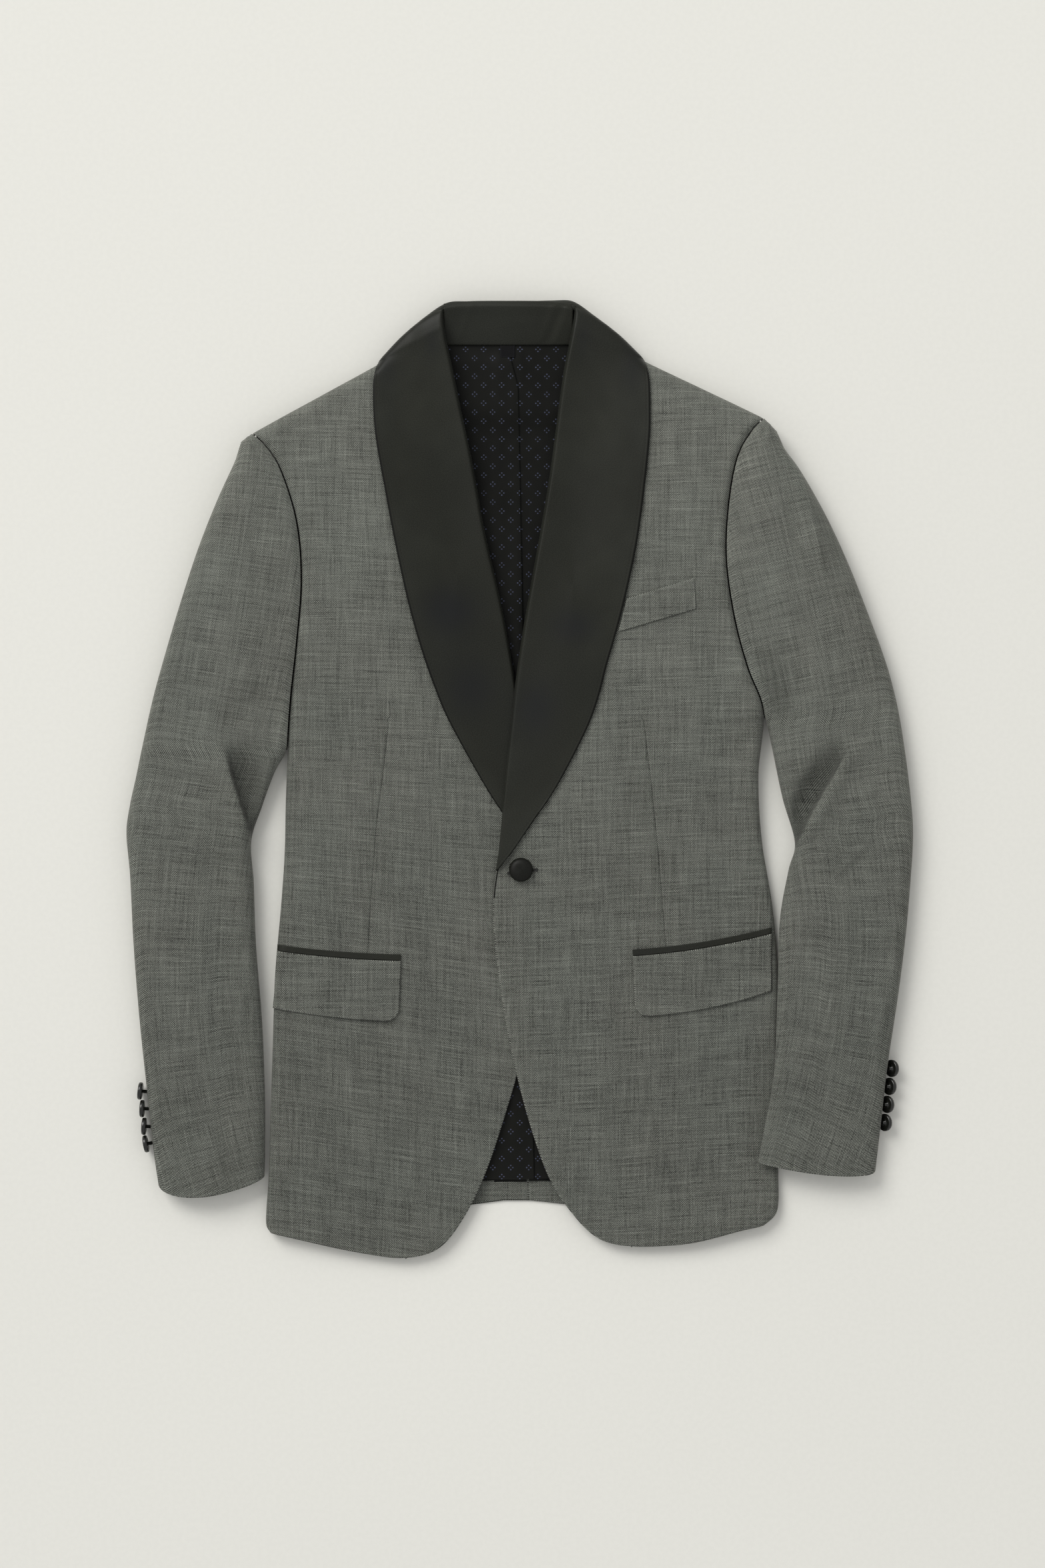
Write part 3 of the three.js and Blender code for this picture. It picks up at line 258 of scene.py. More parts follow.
# Degrees by which some of them hang askew.
CUFF_LEANS = {
    "cuff_button_right_1": -6, "cuff_button_right_2": -2,
    "cuff_button_right_3": -3, "cuff_button_right_4": 10,
}

# Darts that shape the fronts, from the chest to the pocket.
DARTS = {
    "right": [(-111, 51), (-116, 7), (-122, -39), (-126, -95), (-129, -145)],
    "left": [(105, 51), (111, 1), (117, -56), (121, -101), (124, -141)],
}

# Folds of the sleeves that the solids have too: x and y at both ends, rise and width.
SLEEVE_FOLDS = [
    (-251, 26, -229, -50, 3.2, 9),
    (-238, 34, -222, -30, -5, 12),
    (-226, 110, -203, 40, -2.5, 11),
    (-262, 150, -246, 90, -1.6, 16),
    (281, 26, 238, -50, 4, 9),
    (262, 16, 232, -36, -6, 11),
    (246, 150, 228, 40, -2.6, 11),
    (240, 262, 258, 168, 2, 9),
    (300, -40, 258, -88, -2.4, 12),
]

# Softer creases and swells, each a line of points, its rise in millimetres and its half width.
SOFT_FOLDS = {
    "front_right": [
        ([(-196, 232), (-176, 206), (-168, 172)], -0.8, 9),
        ([(-120, 320), (-150, 296), (-178, 262)], 0.5, 12),
        ([(-186, -20), (-150, -36), (-118, -40)], -0.5, 11),
        ([(-190, 20), (-160, -6), (-132, -12)], 0.5, 12),
        ([(-60, -110), (-70, -180), (-78, -250)], -0.35, 16),
        ([(-160, -230), (-152, -290), (-150, -350)], 0.4, 15),
        ([(-200, -250), (-170, -268), (-140, -270)], -0.35, 12),
    ],
    "front_left": [
        ([(182, 246), (166, 212), (164, 178)], -0.9, 9),
        ([(120, 326), (146, 304), (168, 270)], 0.5, 12),
        ([(20, -70), (60, -50), (104, -46)], -0.7, 8),
        ([(22, -88), (64, -92), (100, -86)], 0.5, 10),
        ([(196, 40), (166, 20), (136, 12)], -0.6, 11),
        ([(198, -20), (160, -34), (128, -36)], 0.5, 10),
        ([(70, -240), (66, -300), (72, -360)], 0.4, 16),
        ([(150, -220), (156, -290), (150, -350)], -0.4, 14),
    ],
    "sleeve_right": [
        ([(-300, 84), (-276, 60), (-252, 52)], -0.8, 8),
        ([(-306, 8), (-278, -8), (-250, -14)], -1.1, 7),
        ([(-318, -48), (-284, -42), (-246, -52)], 0.8, 8),
        ([(-262, -90), (-268, -160), (-262, -230)], 0.7, 13),
        ([(-306, -120), (-300, -200), (-296, -280)], -0.5, 12),
        ([(-238, -240), (-250, -290), (-252, -330)], -0.6, 10),
        ([(-232, 262), (-248, 228), (-262, 196)], 0.7, 9),
        ([(-214, 236), (-222, 190), (-222, 150)], -0.9, 8),
    ],
    "sleeve_left": [
        ([(226, 244), (236, 214), (240, 186)], -1.2, 7),
        ([(268, 206), (280, 160), (284, 112)], 0.7, 12),
        ([(304, 60), (286, 36), (262, 30)], -0.9, 8),
        ([(316, 6), (292, -12), (268, -14)], 0.9, 8),
        ([(272, -110), (268, -170), (262, -230)], 0.6, 13),
        ([(302, -130), (294, -200), (286, -270)], -0.6, 11),
        ([(240, -250), (244, -292), (250, -326)], -0.5, 9),
    ],
}

# Sharp folds at the elbows: a line of points, the drop on its right as it runs, how steep the drop is
# and how far it lasts.
STEP_FOLDS = {
    "right": [
        ([(-223, -66), (-228, -47), (-234, -28), (-244, 4), (-252, 34)], 8, 5, 26),
        ([(-208, 84), (-222, 60), (-244, 46), (-262, 46)], 1.8, 7, 20),
        ([(-222, -66), (-262, -78), (-312, -70)], 0.9, 8, 22),
    ],
    "left": [
        ([(282, 34), (264, 2), (246, -30), (236, -51), (224, -76)], 8.5, 6, 20),
        ([(216, 118), (224, 90), (230, 62), (232, 40)], 2.6, 7, 22),
        ([(262, -86), (282, -64), (306, -40)], 1.6, 7, 20),
        ([(258, 172), (250, 214), (236, 262)], 1.8, 6, 20),
    ],
}

# Painted shade where the satin turns away from the light: middle, width, height and depth of each darker
# place.
SATIN_DIMS = {
    "right": (
        (-60, 144, 30, 24, 0.7), (-42, 78, 24, 28, 0.6), (-114, 352, 13, 26, 0.45), (-74, 372, 8, 20, 0.4),
    ),
    "left": (
        (46, 131, 24, 17, 0.6), (14, 62, 22, 28, 0.6), (96, 350, 13, 28, 0.45), (54, 374, 8, 22, 0.4),
    ),
}

# Profiles of the buttons from the axis out and back: shares of the radius and of the rise.
COVERED_PROFILE = (
    (0, 0.15), (0.55, 0.12), (0.86, 0), (0.95, 0.04), (0.995, 0.16), (1.0, 0.27), (0.985, 0.38), (0.95, 0.52),
    (0.9, 0.63), (0.82, 0.745), (0.7, 0.845), (0.55, 0.92), (0.38, 0.965), (0.2, 0.99), (0, 1),
)
RINGED_PROFILE = (
    (0.50, -0.5), (0.56, -0.44), (0.62, -0.44), (0.68, -0.52), (0.84, -0.54), (0.94, -0.48), (0.99, -0.3),
    (1.0, -0.05), (0.985, 0.2), (0.94, 0.38), (0.86, 0.46), (0.78, 0.44), (0.7, 0.34), (0.6, 0.3),
    (0.3, 0.31), (0, 0.32),
)

# Places on the left front of the covered button and the buttonhole, and the tab's place and size.
BUTTON_AT = (1, -75)
BUTTONHOLE_AT = (2, -76.5)
BUTTONHOLE_REACH = (12.2, 1.05)
TAB_AT = (-10.5, 366.2, 7.8)
TAB_SIZE = (12.5, 11.6, 0.8)


# ---- Curves and surfaces, in millimetres


def mix(a, b, t):
    return a + (b - a) * t


def ease(x, low, high):
    """Rises smoothly from 0 at low to 1 at high."""
    t = np.clip((np.asarray(x, float) - low) / (high - low), 0, 1)
    return t * t * (3 - 2 * t)


def unit(v):
    return v / np.maximum(np.linalg.norm(v, axis=-1, keepdims=True), 1e-12)


def points(x, y, z):
    return np.stack(np.broadcast_arrays(x, y, z), axis=-1).astype(float)


def curve(p1, p2, m1, m2, t):
    """A cubic from p1 to p2 with the slopes m1 and m2, at the share t of the way."""
    t2, t3 = t * t, t * t * t
    return (2 * t3 - 3 * t2 + 1) * p1 + (t3 - 2 * t2 + t) * m1 + (3 * t2 - 2 * t3) * p2 + (t3 - t2) * m2


def column(columns, name, row):
    """One column as a smooth curve through its rows, read at any row position."""
    values = columns[name]
    padded = np.concatenate([[2 * values[0] - values[1]], values, [2 * values[-1] - values[-2]]])
    at = np.clip(row, 0, len(values) - 1)
    i = np.minimum(np.floor(at).astype(int), len(values) - 2)
    p0, p1, p2, p3 = (padded[i + k] for k in range(4))
    return curve(p1, p2, (p2 - p0) / 2, (p3 - p1) / 2, at - i)


def freedom(row):
    """0 where the front and the sleeve are sewn together, 1 where each has its own rolled edge."""
    return ease(row, ARMPIT_ROW - 0.35, ARMPIT_ROW + 0.6)


def shoulder_turn(row):
    """The shoulder's turn, in radians from its crown."""
    return np.where(row >= 1, 0, np.radians(90 * (1 - row)))


def height_share(angle):
    """The share of the height that is left at an angle round a rolled edge."""
    return (1 + np.cos(angle)) / 2


def row_point(columns, name, row):
    """X and Y of one line of a table, on the shoulder's turn or on the smooth curve below it."""
    reach = np.sin(shoulder_turn(row))
    found = []
    for axis in ("_x", "_y"):
        values = columns[name + axis]
        found.append(np.where(row >= 1, column(columns, name + axis, row), mix(values[1], values[0], reach)))
    return found


def roll_inset(angle, end, roll):
    """How far in from its widest line a rolled edge is at an angle, when it ends at the angle end."""
    reach = np.where(end >= np.pi / 2, 1, np.sin(end))
    return roll * (reach - np.sin(angle))


def body_roll(side_top):
    return np.minimum(BODY_ROLL, side_top * 0.6)


def front_roll_end(row):
    return np.radians(mix(SEAM_DIP, ROLL_END, freedom(row)))


def front_point(side, row, across):
    """The front's outer face: across runs from 0 at its edge to 1 over the top and to 2 round the side."""
    columns = SIDES[side]["front"]
    row, across = np.broadcast_arrays(np.asarray(row, float), np.asarray(across, float))
    side_x, side_y = row_point(columns, "side", row)
    edge_x, edge_y = row_point(columns, "edge", row)
    side_top = column(columns, "side_top", row)
    roll = body_roll(side_top)
    end = front_roll_end(row)
    span = np.hypot(edge_x - side_x, edge_y - side_y)
    in_x, in_y = (edge_x - side_x) / span, (edge_y - side_y) / span
    top_span = span - roll_inset(0, end, roll) - SEAM / 2
    shoulder = height_share(shoulder_turn(row))
    over = np.clip(across, 0, 1)
    hang = column(columns, "bow", row) * np.sin(np.pi * over) ** 2
    height = mix(column(columns, "edge_top", row), side_top, ease(across, 0.12, 0.9))
    dome = column(columns, "dome", row) * np.sin(np.pi * np.maximum(across, 0)) ** 2
    flat = points(
        edge_x - in_x * top_span * across,
        edge_y - in_y * top_span * across - hang,
        (height + dome) * shoulder,
    )
    angle = end * np.maximum(across - 1, 0)
    inset = roll_inset(angle, end, roll) + SEAM / 2
    rolled = points(side_x + in_x * inset, side_y + in_y * inset, side_top * height_share(angle) * shoulder)
    return np.where((across <= 1)[..., None], flat, rolled)


def under_hem_y(columns, row, y, from_side):
    """Y of the under layers, whose hem runs from the front's at the side to its own at the centre."""
    rise = BACK_HEM_Y - columns["side_y"][HEM_ROW]
    return y + rise * ease(row, 12, HEM_ROW) * np.minimum(1, 1.06 * from_side / (BACK_HALF_WIDTH - 5))


def tuck_width(row):
    """How far the side panel reaches beneath the front."""
    return mix(SIDE_PANEL_TOP_WIDTH, SIDE_PANEL_WIDTH, ease(row, 7.1, 8.2))


def side_point(side, row, across):
    """The side panel: across runs from 0 at the front's seam to 1 below the roll and to 2 at the back."""
    columns = SIDES[side]["front"]
    row, across = np.broadcast_arrays(np.asarray(row, float), np.asarray(across, float))
    side_x, side_y = row_point(columns, "side", row)
    side_top = column(columns, "side_top", row)
    roll = body_roll(side_top)
    start = front_roll_end(row) + np.radians(UNDER_START - ROLL_END)
    angle = mix(start, np.pi, np.minimum(across, 1))
    foot = roll_inset(np.pi, np.pi, roll) + SEAM / 2
    turning = roll_inset(angle, np.pi, roll) + SEAM / 2
    inset = np.where(across <= 1, turning, mix(foot, tuck_width(row), across - 1))
    y = under_hem_y(columns, row, side_y, inset)
    return points(side_x - SIDES[side]["out"] * inset, y, side_top * height_share(angle))


def back_lift(x, y, lead):
    """How far the back is held up by the collar's tail. The lining over it rises by a lead earlier."""
    beyond = ease(np.abs(x), LIFT_X[0] + lead, LIFT_X[1] + lead)
    return COLLAR_UNDER_LIFT * ease(y, LIFT_Y[0] - lead, LIFT_Y[1] - lead) * (1 - beyond)


def centre_x(y):
    return mix(CENTRE_SEAM_HEM_X, CENTRE_SEAM_TOP_X, (y - BACK_HEM_Y) / (NECK_SEAM_Y - BACK_HEM_Y))


def back_place(side, row, share, inset, overlap):
    """A place on the back from above: share is 0 at the side and 1 at the centre."""
    columns, out = SIDES[side]["front"], SIDES[side]["out"]
    side_x, side_y = row_point(columns, "side", row)
    tuck = np.where(row < ARMPIT_ROW, SIDE_PANEL_TOP_WIDTH * ease(row, 6.75, ARMPIT_ROW), tuck_width(row))
    rise = (NECK_SEAM_Y + 0.5 - columns["side_y"][1]) * (1 - ease(row, 1, 5))
    y = side_y + rise * np.minimum(1, share / NECK_SHARE)
    x = mix(side_x - out * (tuck + inset + SEAM), centre_x(y) - out * overlap, share)
    return x, under_hem_y(columns, row, y, np.abs(side_x - x))


def back_point(side, turn, share):
    """The back's lower face: turn is 0 at the shoulder seam, 1 at the crown's line, and then counts rows."""
    columns = SIDES[side]["front"]
    turn, share = np.broadcast_arrays(np.asarray(turn, float), np.asarray(share, float))
    x, y = back_place(side, np.maximum(turn, 1), share, 0, -0.03)
    lift = back_lift(x, y, 0)
    angle = mix(np.radians(BACK_TURN_START), np.pi, np.minimum(turn, 1))
    along = np.minimum(1, share / NECK_SHARE)
    turning = 1 - ease(share, 0.5, NECK_SHARE)
    reach = np.sin(angle) * turning
    first = {name: values[0] - values[1] for name, values in columns.items()}
    reach_x, reach_y = (mix(first["side" + axis], first["edge" + axis], along) for axis in ("_x", "_y"))
    top = mix(columns["edge_top"][1], columns["side_top"][1], ease(1 - along, 0.12, 0.9))
    spare = np.where(turn < 1, (1 - turn) * 1.2 * (1 - turning), 0)
    height = lift + np.maximum(0, top * height_share(angle) - lift * 0.5) * turning
    return points(x + reach_x * reach, y + reach_y * reach + spare, height)


def lining_point(side, row, share):
    """The lining over the back. The right half folds over the left one at the centre pleat."""
    pleated = 1 if side == "right" else 0
    row, share = np.broadcast_arrays(np.asarray(row, float), np.asarray(share, float))
    _, spot_y = back_place(side, row, share, LINING_INSET, 0)
    fold = pleated * (1 - ease(spot_y, 330, 366))
    x, y = back_place(side, row, share, LINING_INSET, mix(-SEAM / 2, 6, fold))
    y = mix(y, BACK_HEM_Y + HEM_REVEAL, ease(row, 13, 14))
    rise = pleated * (1 - ease(spot_y, 352, 368)) * 1.7 * ease(share, 0.6, 0.96)
    return points(x, y, back_lift(x, y, LINING_LEAD) + BACK_CLOTH + LAY + LINING_CLOTH + rise)


def sleeve_point(side, row, across, under):
    """The sleeve's face: across is -1 to 0 on the inner roll, to 1 on the flat, to 2 on the outer roll."""
    columns, front, out = SIDES[side]["sleeve"], SIDES[side]["front"], SIDES[side]["out"]
    row, across = np.broadcast_arrays(np.asarray(row, float), np.asarray(across, float))
    hole_x, hole_y = row_point(front, "side", row)
    hole_x = hole_x + out * SEAM / 2
    # Down to the armpit the sleeve's inner line is the front's armhole.
    joined = np.arange(CUFF_ROW + 1) <= ARMPIT_ROW
    inner = {
        "inner" + axis: np.where(joined, front["side" + axis][: CUFF_ROW + 1] + gap, columns["inner" + axis])
        for axis, gap in (("_x", out * SEAM / 2), ("_y", 0))
    }
    own_x, own_y = row_point(inner, "inner", row)
    inner_x, inner_y = np.where(row <= ARMPIT_ROW, hole_x, own_x), np.where(row <= ARMPIT_ROW, hole_y, own_y)
    outer_x, outer_y = row_point(columns, "outer", row)
    turn = height_share(shoulder_turn(row))
    full = column(columns, "top", row)
    top, floor = full * turn, full * (1 - turn)
    span = np.hypot(outer_x - inner_x, outer_y - inner_y)
    run_x, run_y = (outer_x - inner_x) / span, (outer_y - inner_y) / span
    roll = np.minimum(SLEEVE_ROLL, span * 0.4)
    free = freedom(row)
    rest = np.pi if under else 0.0
    inner_end = np.radians(mix(UNDER_SEAM_DIP, UNDER_START, free) if under else mix(SEAM_DIP, ROLL_END, free))
    outer_end = np.radians(UNDER_START if under else ROLL_END)
    widest = np.minimum(np.pi - inner_end, np.pi / 2) if under else inner_end
    widest = np.where(free > 0.5, np.pi / 2, widest)
    inner_angle = mix(rest, inner_end, np.clip(-across, 0, None))
    outer_angle = mix(rest, outer_end, np.clip(across - 1, 0, None))
    along = mix(roll_inset(0, widest, roll), span - roll, across)
    along = np.where(across < 0, roll_inset(inner_angle, widest, roll), along)
    along = np.where(across > 1, span - roll_inset(outer_angle, np.pi / 2, roll), along)
    angle = np.where(across < 0, inner_angle, np.where(across > 1, outer_angle, rest))
    q = np.clip(along / span, 0, 1)
    bottom = floor + column(columns, "lift", row) * (1 - ease(q, 0.04, 0.5))
    x = inner_x + run_x * along
    y = inner_y + run_y * along - column(columns, "bow", row) * np.sqrt(np.maximum(0, np.sin(np.pi * q**1.4)))
    crown, folds = 0, 0
    if not under:
        crown = 2.2 * np.sin(np.pi * np.clip(across, 0, 1))
        folds = fold_height(x, y) * ease(across, -0.9, 0.1) * (1 - ease(across, 1, 1.9))
    return points(x, y, bottom + (top - bottom) * height_share(angle) + crown + folds)


def fold_height(x, y):
    """Height of the folds that the solids have too."""
    height = 0
    for from_x, from_y, to_x, to_y, rise, width in SLEEVE_FOLDS:
        along_x, along_y = to_x - from_x, to_y - from_y
        length = np.hypot(along_x, along_y)
        t = ((x - from_x) * along_x + (y - from_y) * along_y) / length**2
        off = ((x - from_x) * -along_y + (y - from_y) * along_x) / length
        begun, left = ease(t, -0.15, 0.3), 1 - ease(t, 0.85, 1.2)
        height = height + rise * begun * left * np.exp(-((off / width) ** 2))
    return height


def frames(face, u, v):
    """Points of a face and the directions square to it, found by small steps along it."""
    step = 0.01
    along_u = face(u + step, v) - face(u - step, v)
    along_v = face(u, v + step) - face(u, v - step)
    return face(u, v), unit(np.cross(along_u, along_v))


def on_front(side, x, y):
    """The front's points and outward directions under places seen from above."""
    out = SIDES[side]["out"]
    x, y = np.broadcast_arrays(np.asarray(x, float), np.asarray(y, float))
    across, row = np.full(x.shape, 0.5), np.full(x.shape, 8.0)
    for _ in range(8):
        low, high = np.ones(x.shape), np.full(x.shape, float(HEM_ROW))
        for _ in range(24):
            row = (low + high) / 2
            above = front_point(side, row, across)[..., 1] > y
            low, high = np.where(above, row, low), np.where(above, high, row)
        low, high = np.zeros(x.shape), np.full(x.shape, 1.78)
        for _ in range(24):
            across = (low + high) / 2
            inside = front_point(side, row, across)[..., 0] * out < x * out
            low, high = np.where(inside, across, low), np.where(inside, high, across)
    at, normal = frames(lambda u, v: front_point(side, u, v), row, across)
    return at, normal * out


def line_distance(x, y, line):
    """Signed distance from a line of points, and the way along it."""
    best = np.full(np.shape(x), 1e9)
    sign, way = np.ones(np.shape(x)), np.zeros(np.shape(x))
    gone = 0.0
    for (ax, ay), (bx, by) in zip(line, line[1:]):
        length = np.hypot(bx - ax, by - ay)
        t = np.clip(((x - ax) * (bx - ax) + (y - ay) * (by - ay)) / length**2, 0, 1)
        off = np.hypot(x - ax - t * (bx - ax), y - ay - t * (by - ay))
        turned = np.sign((x - ax) * (by - ay) - (y - ay) * (bx - ax))
        nearer = off < best
        best = np.where(nearer, off, best)
        sign = np.where(nearer, np.where(turned == 0, 1, turned), sign)
        way = np.where(nearer, gone + t * length, way)
        gone += length
    return best * sign, way, gone


def soft_relief(x, y, folds):
    """Height of soft creases at a place. Each fades at both ends and is steeper on one side."""
    height = np.zeros(np.shape(x))
    for line, rise, width in folds:
        off, way, whole = line_distance(x, y, line)
        share = way / whole
        fade = ease(share, 0, 0.35) * (1 - ease(share, 0.6, 1)) + 0.15
        spread = np.where(off > 0, width, width * 0.62)
        height += rise * fade * np.exp(-((off / spread) ** 2))
    return height


def step_relief(x, y, folds):
    """Height of sharp folds, which drop away on one side of their lines, and the painted shade of each place.
    """
    height, shade = np.zeros(np.shape(x)), np.zeros(np.shape(x))
    for line, drop, steep, reach in folds:
        off, way, whole = line_distance(x, y, line)
        share = way / whole
        fade = ease(share, 0, 0.2) * (1 - ease(share, 0.7, 1))
        below = np.where(off > 0, ease(off, 0, steep) * np.exp(-off / reach), 0)
        ridge = 0.16 * np.exp(-(((off + steep * 0.6) / (steep * 1.3)) ** 2))
        height = height + drop * fade * (ridge - below)
        deep = fade * min(1, drop / 7) * ease(off, -0.6, 1.2)
        near, far = 0.45 * np.exp(-off.clip(0) / 5), 0.55 * np.exp(-((off / reach) ** 4))
        shade = np.maximum(shade, deep * (near + far))
    return height, shade


def cloth_swell(x, y, amount, seed):
    """Low uneven swells of cloth that lies loosely on itself."""
    height = 0
    for k, (across, down, share) in enumerate([(97, 143, 1), (61, 88, 0.6), (171, 67, 0.55), (39, 49, 0.25)]):
        phase = seed * 1.7 + k * 2.3
        drift = 0.9 * np.sin(y / down * 2 * np.pi + phase * 0.6)
        height = height + share * np.sin(x / across * 2 * np.pi + phase + drift)
    return amount * height


# ---- Meshes


def arc(at, axis):
    """Distances along one axis of a grid of points, from 0 at its start."""
    step = np.linalg.norm(np.diff(at, axis=axis), axis=-1)
    pad = [(0, 0), (0, 0)]
    pad[axis] = (1, 0)
    return np.pad(np.cumsum(step, axis=axis), pad)


def make_object(name, vertices, faces, uv, values, looks, kinds=None, smooth=True):
    """A mesh object in metres from points in millimetres, quads, map coordinates and values at the points."""
    mesh = bpy.data.meshes.new(name)
    mesh.vertices.add(len(vertices))
    mesh.vertices.foreach_set("co", (np.asarray(vertices) * MM).astype(np.float32).ravel())
    faces = np.asarray(faces, np.int32)
    mesh.loops.add(faces.size)
    mesh.loops.foreach_set("vertex_index", faces.ravel())
    mesh.polygons.add(len(faces))
    mesh.polygons.foreach_set("loop_start", np.arange(0, faces.size, faces.shape[1], dtype=np.int32))
    mesh.polygons.foreach_set("use_smooth", np.full(len(faces), smooth))
    for look in looks:
        mesh.materials.append(look)
    if kinds is not None:
        mesh.polygons.foreach_set("material_index", np.asarray(kinds, np.int32))
    layer = mesh.uv_layers.new(name="Grain")
    layer.data.foreach_set("uv", np.asarray(uv)[faces.ravel()].astype(np.float32).ravel())
    for value_name, numbers in values.items():
        made = mesh.attributes.new(value_name, "FLOAT", "POINT")
        made.data.foreach_set("value", np.asarray(numbers, np.float32).ravel())
    mesh.update(calc_edges=True)
    mesh.validate()
    made = bpy.data.objects.new(name, mesh)
    bpy.context.scene.collection.objects.link(made)
    return made


def rim_order(rows, columns):
    """Grid positions once round the border, with the way out of the grid at each."""
    order = [(0, j) for j in range(columns - 1)]
    order += [(i, columns - 1) for i in range(rows - 1)]
    order += [(rows - 1, j) for j in range(columns - 1, 0, -1)]
    order += [(i, 0) for i in range(rows - 1, 0, -1)]
    return np.array(order)


def shell(name, outer, inward, thickness, uv, looks, values=None, kinds=None, rim_steps=3):
    """A closed thin sheet of cloth with rounded edges, from a grid of points on its outer face."""
    rows, columns = outer.shape[:2]
    inward = np.broadcast_to(inward, outer.shape)
    inner = outer + inward * thickness
    order = rim_order(rows, columns)
    way = np.zeros(outer.shape)
    way[0] += unit(outer[0] - outer[1])
    way[-1] += unit(outer[-1] - outer[-2])
    way[:, 0] += unit(outer[:, 0] - outer[:, 1])
    way[:, -1] += unit(outer[:, -1] - outer[:, -2])
    way -= inward * np.sum(way * inward, axis=-1, keepdims=True)
    way = unit(way) * (np.linalg.norm(way, axis=-1, keepdims=True) > 0)
    radius = thickness / 2
    outer, inner = outer - way * radius, inner - way * radius
    at = order[:, 0], order[:, 1]
    middle, up, out = (outer[at] + inner[at]) / 2, -inward[at], way[at]
    angles = np.linspace(0, np.pi, rim_steps + 2)[1:-1]
    rims = [middle + radius * (np.cos(a) * up + np.sin(a) * out) for a in angles]
    count = rows * columns
    vertices = np.concatenate([outer.reshape(-1, 3), inner.reshape(-1, 3), *rims])
    i, j = np.meshgrid(np.arange(rows - 1), np.arange(columns - 1), indexing="ij")
    corner = (i * columns + j).ravel()
    top = np.stack([corner, corner + 1, corner + columns + 1, corner + columns], axis=1)
    faces = [top, top[:, ::-1] + count]
    border = order[:, 0] * columns + order[:, 1]
    rim_loops = [2 * count + k * len(border) + np.arange(len(border)) for k in range(rim_steps)]
    loops = [border, *rim_loops, border + count]
    for upper, lower in zip(loops, loops[1:]):
        faces.append(np.stack([np.roll(upper, -1), upper, lower, np.roll(lower, -1)], axis=1))
    faces = np.concatenate(faces)
    # The faces are wound so that the outer face looks away from the inward direction.
    a, b, d = (vertices[top[:, k]] for k in (0, 1, 3))
    if np.sum(np.cross(b - a, d - a) * inward.reshape(-1, 3)[top[:, 0]]) > 0:
        faces = faces[:, ::-1]
    flat_uv = uv.reshape(-1, 2)
    rim_uv = [flat_uv[border] for _ in rims]
    all_uv = np.concatenate([flat_uv, flat_uv, *rim_uv])
    spread = {}
    for value_name, numbers in (values or {}).items():
        numbers = np.asarray(numbers, float).ravel()
        spread[value_name] = np.concatenate([numbers, numbers, *[numbers[border] for _ in rims]])
    marks = None
    if kinds is not None:
        inner_kinds = np.asarray(kinds)[:-1, :-1].ravel()
        marks = np.concatenate([np.zeros(len(top)), inner_kinds, np.zeros(len(faces) - 2 * len(top))])
    return make_object(name, vertices, faces, all_uv, spread, looks, marks)


def planar_uv(at):
    """Map coordinates in millimetres: X and Y where the cloth lies flat, arc length where it turns away."""
    u, v = at[..., 0].copy(), at[..., 1].copy()
    for axis, coordinate in ((1, u), (0, v)):
        step = np.diff(at, axis=axis)
        level = np.abs(np.diff(coordinate, axis=axis))
        dip = np.abs(step[..., 2])
        extra = np.hypot(level, dip) - level
        pad = [(0, 0), (0, 0)]
        pad[axis] = (1, 0)
        sign = np.sign(np.diff(coordinate, axis=axis).sum(axis=axis, keepdims=True))
        coordinate += sign * np.pad(np.cumsum(extra, axis=axis), pad)
    return np.stack([u, v], axis=-1)


def finish_piece(piece, slot, *nodes):
    """Fixes a piece to the jacket and hides the solid it stands for, if there is one. The slot is not used.
    """
    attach(piece, "root")
    if nodes:
        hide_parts(*nodes)
    return piece


def border_distance(at):
    """Distance of each grid point from the nearest border of the grid, along its row or column."""
    across, down = arc(at, 1), arc(at, 0)
    return np.minimum.reduce([across, across[:, -1:] - across, down, down[-1:] - down])


# ---- Shader node groups and materials


def wire(tree, socket, value):
    """Links another socket to an input, or sets the input to a plain value."""
    if isinstance(value, bpy.types.NodeSocket):
        tree.links.new(value, socket)
    else:
        socket.default_value = value


def node(tree, kind, **settings):
    """A node, with its own settings and its inputs given by name."""
    made = tree.nodes.new(kind)
    for key, value in settings.items():
        if hasattr(made, key):
            setattr(made, key, value)
        else:
            wire(tree, made.inputs[key.replace("_", " ")], value)
    return made


def maths(tree, operation, *values):
    """A Math node whose inputs are sockets or numbers. Returns its output."""
    made = node(tree, "ShaderNodeMath", operation=operation)
    for socket, value in zip(made.inputs, values):
        wire(tree, socket, value)
    return made.outputs[0]


def total(tree, *values):
    out = values[0]
    for value in values[1:]:
        out = maths(tree, "ADD", out, value)
    return out


def product(tree, *values):
    out = values[0]
    for value in values[1:]:
        out = maths(tree, "MULTIPLY", out, value)
    return out


def blend_colours(tree, factor, first, second, mode="MIX"):
    made = node(tree, "ShaderNodeMix", data_type="RGBA", blend_type=mode)
    for name, value in (("Factor", factor), ("A", first), ("B", second)):
        wire(tree, next(s for s in made.inputs if s.name == name and s.enabled), value)
    return next(s for s in made.outputs if s.enabled)


def remap(tree, value, low, high, to_low=0.0, to_high=1.0):
    """Carries low to high over to another range, with a smooth start and end."""
    made = node(tree, "ShaderNodeMapRange", interpolation_type="SMOOTHSTEP")
    for socket, number in zip(made.inputs, (value, low, high, to_low, to_high)):
        wire(tree, socket, number)
    return made.outputs[0]


def centred(tree, field, to_low, to_high):
    """The middle part of a noise field, carried over to another range."""
    return remap(tree, field, 0.3, 0.7, to_low, to_high)


def stretched(tree, vector, across, down, shift=0.0):
    """The map coordinates divided by two lengths in millimetres."""
    made = node(tree, "ShaderNodeMapping", vector_type="POINT", Vector=vector,
                Scale=(1 / across, 1 / down, 1), Location=(shift, shift * 0.37, 0))
    return made.outputs[0]


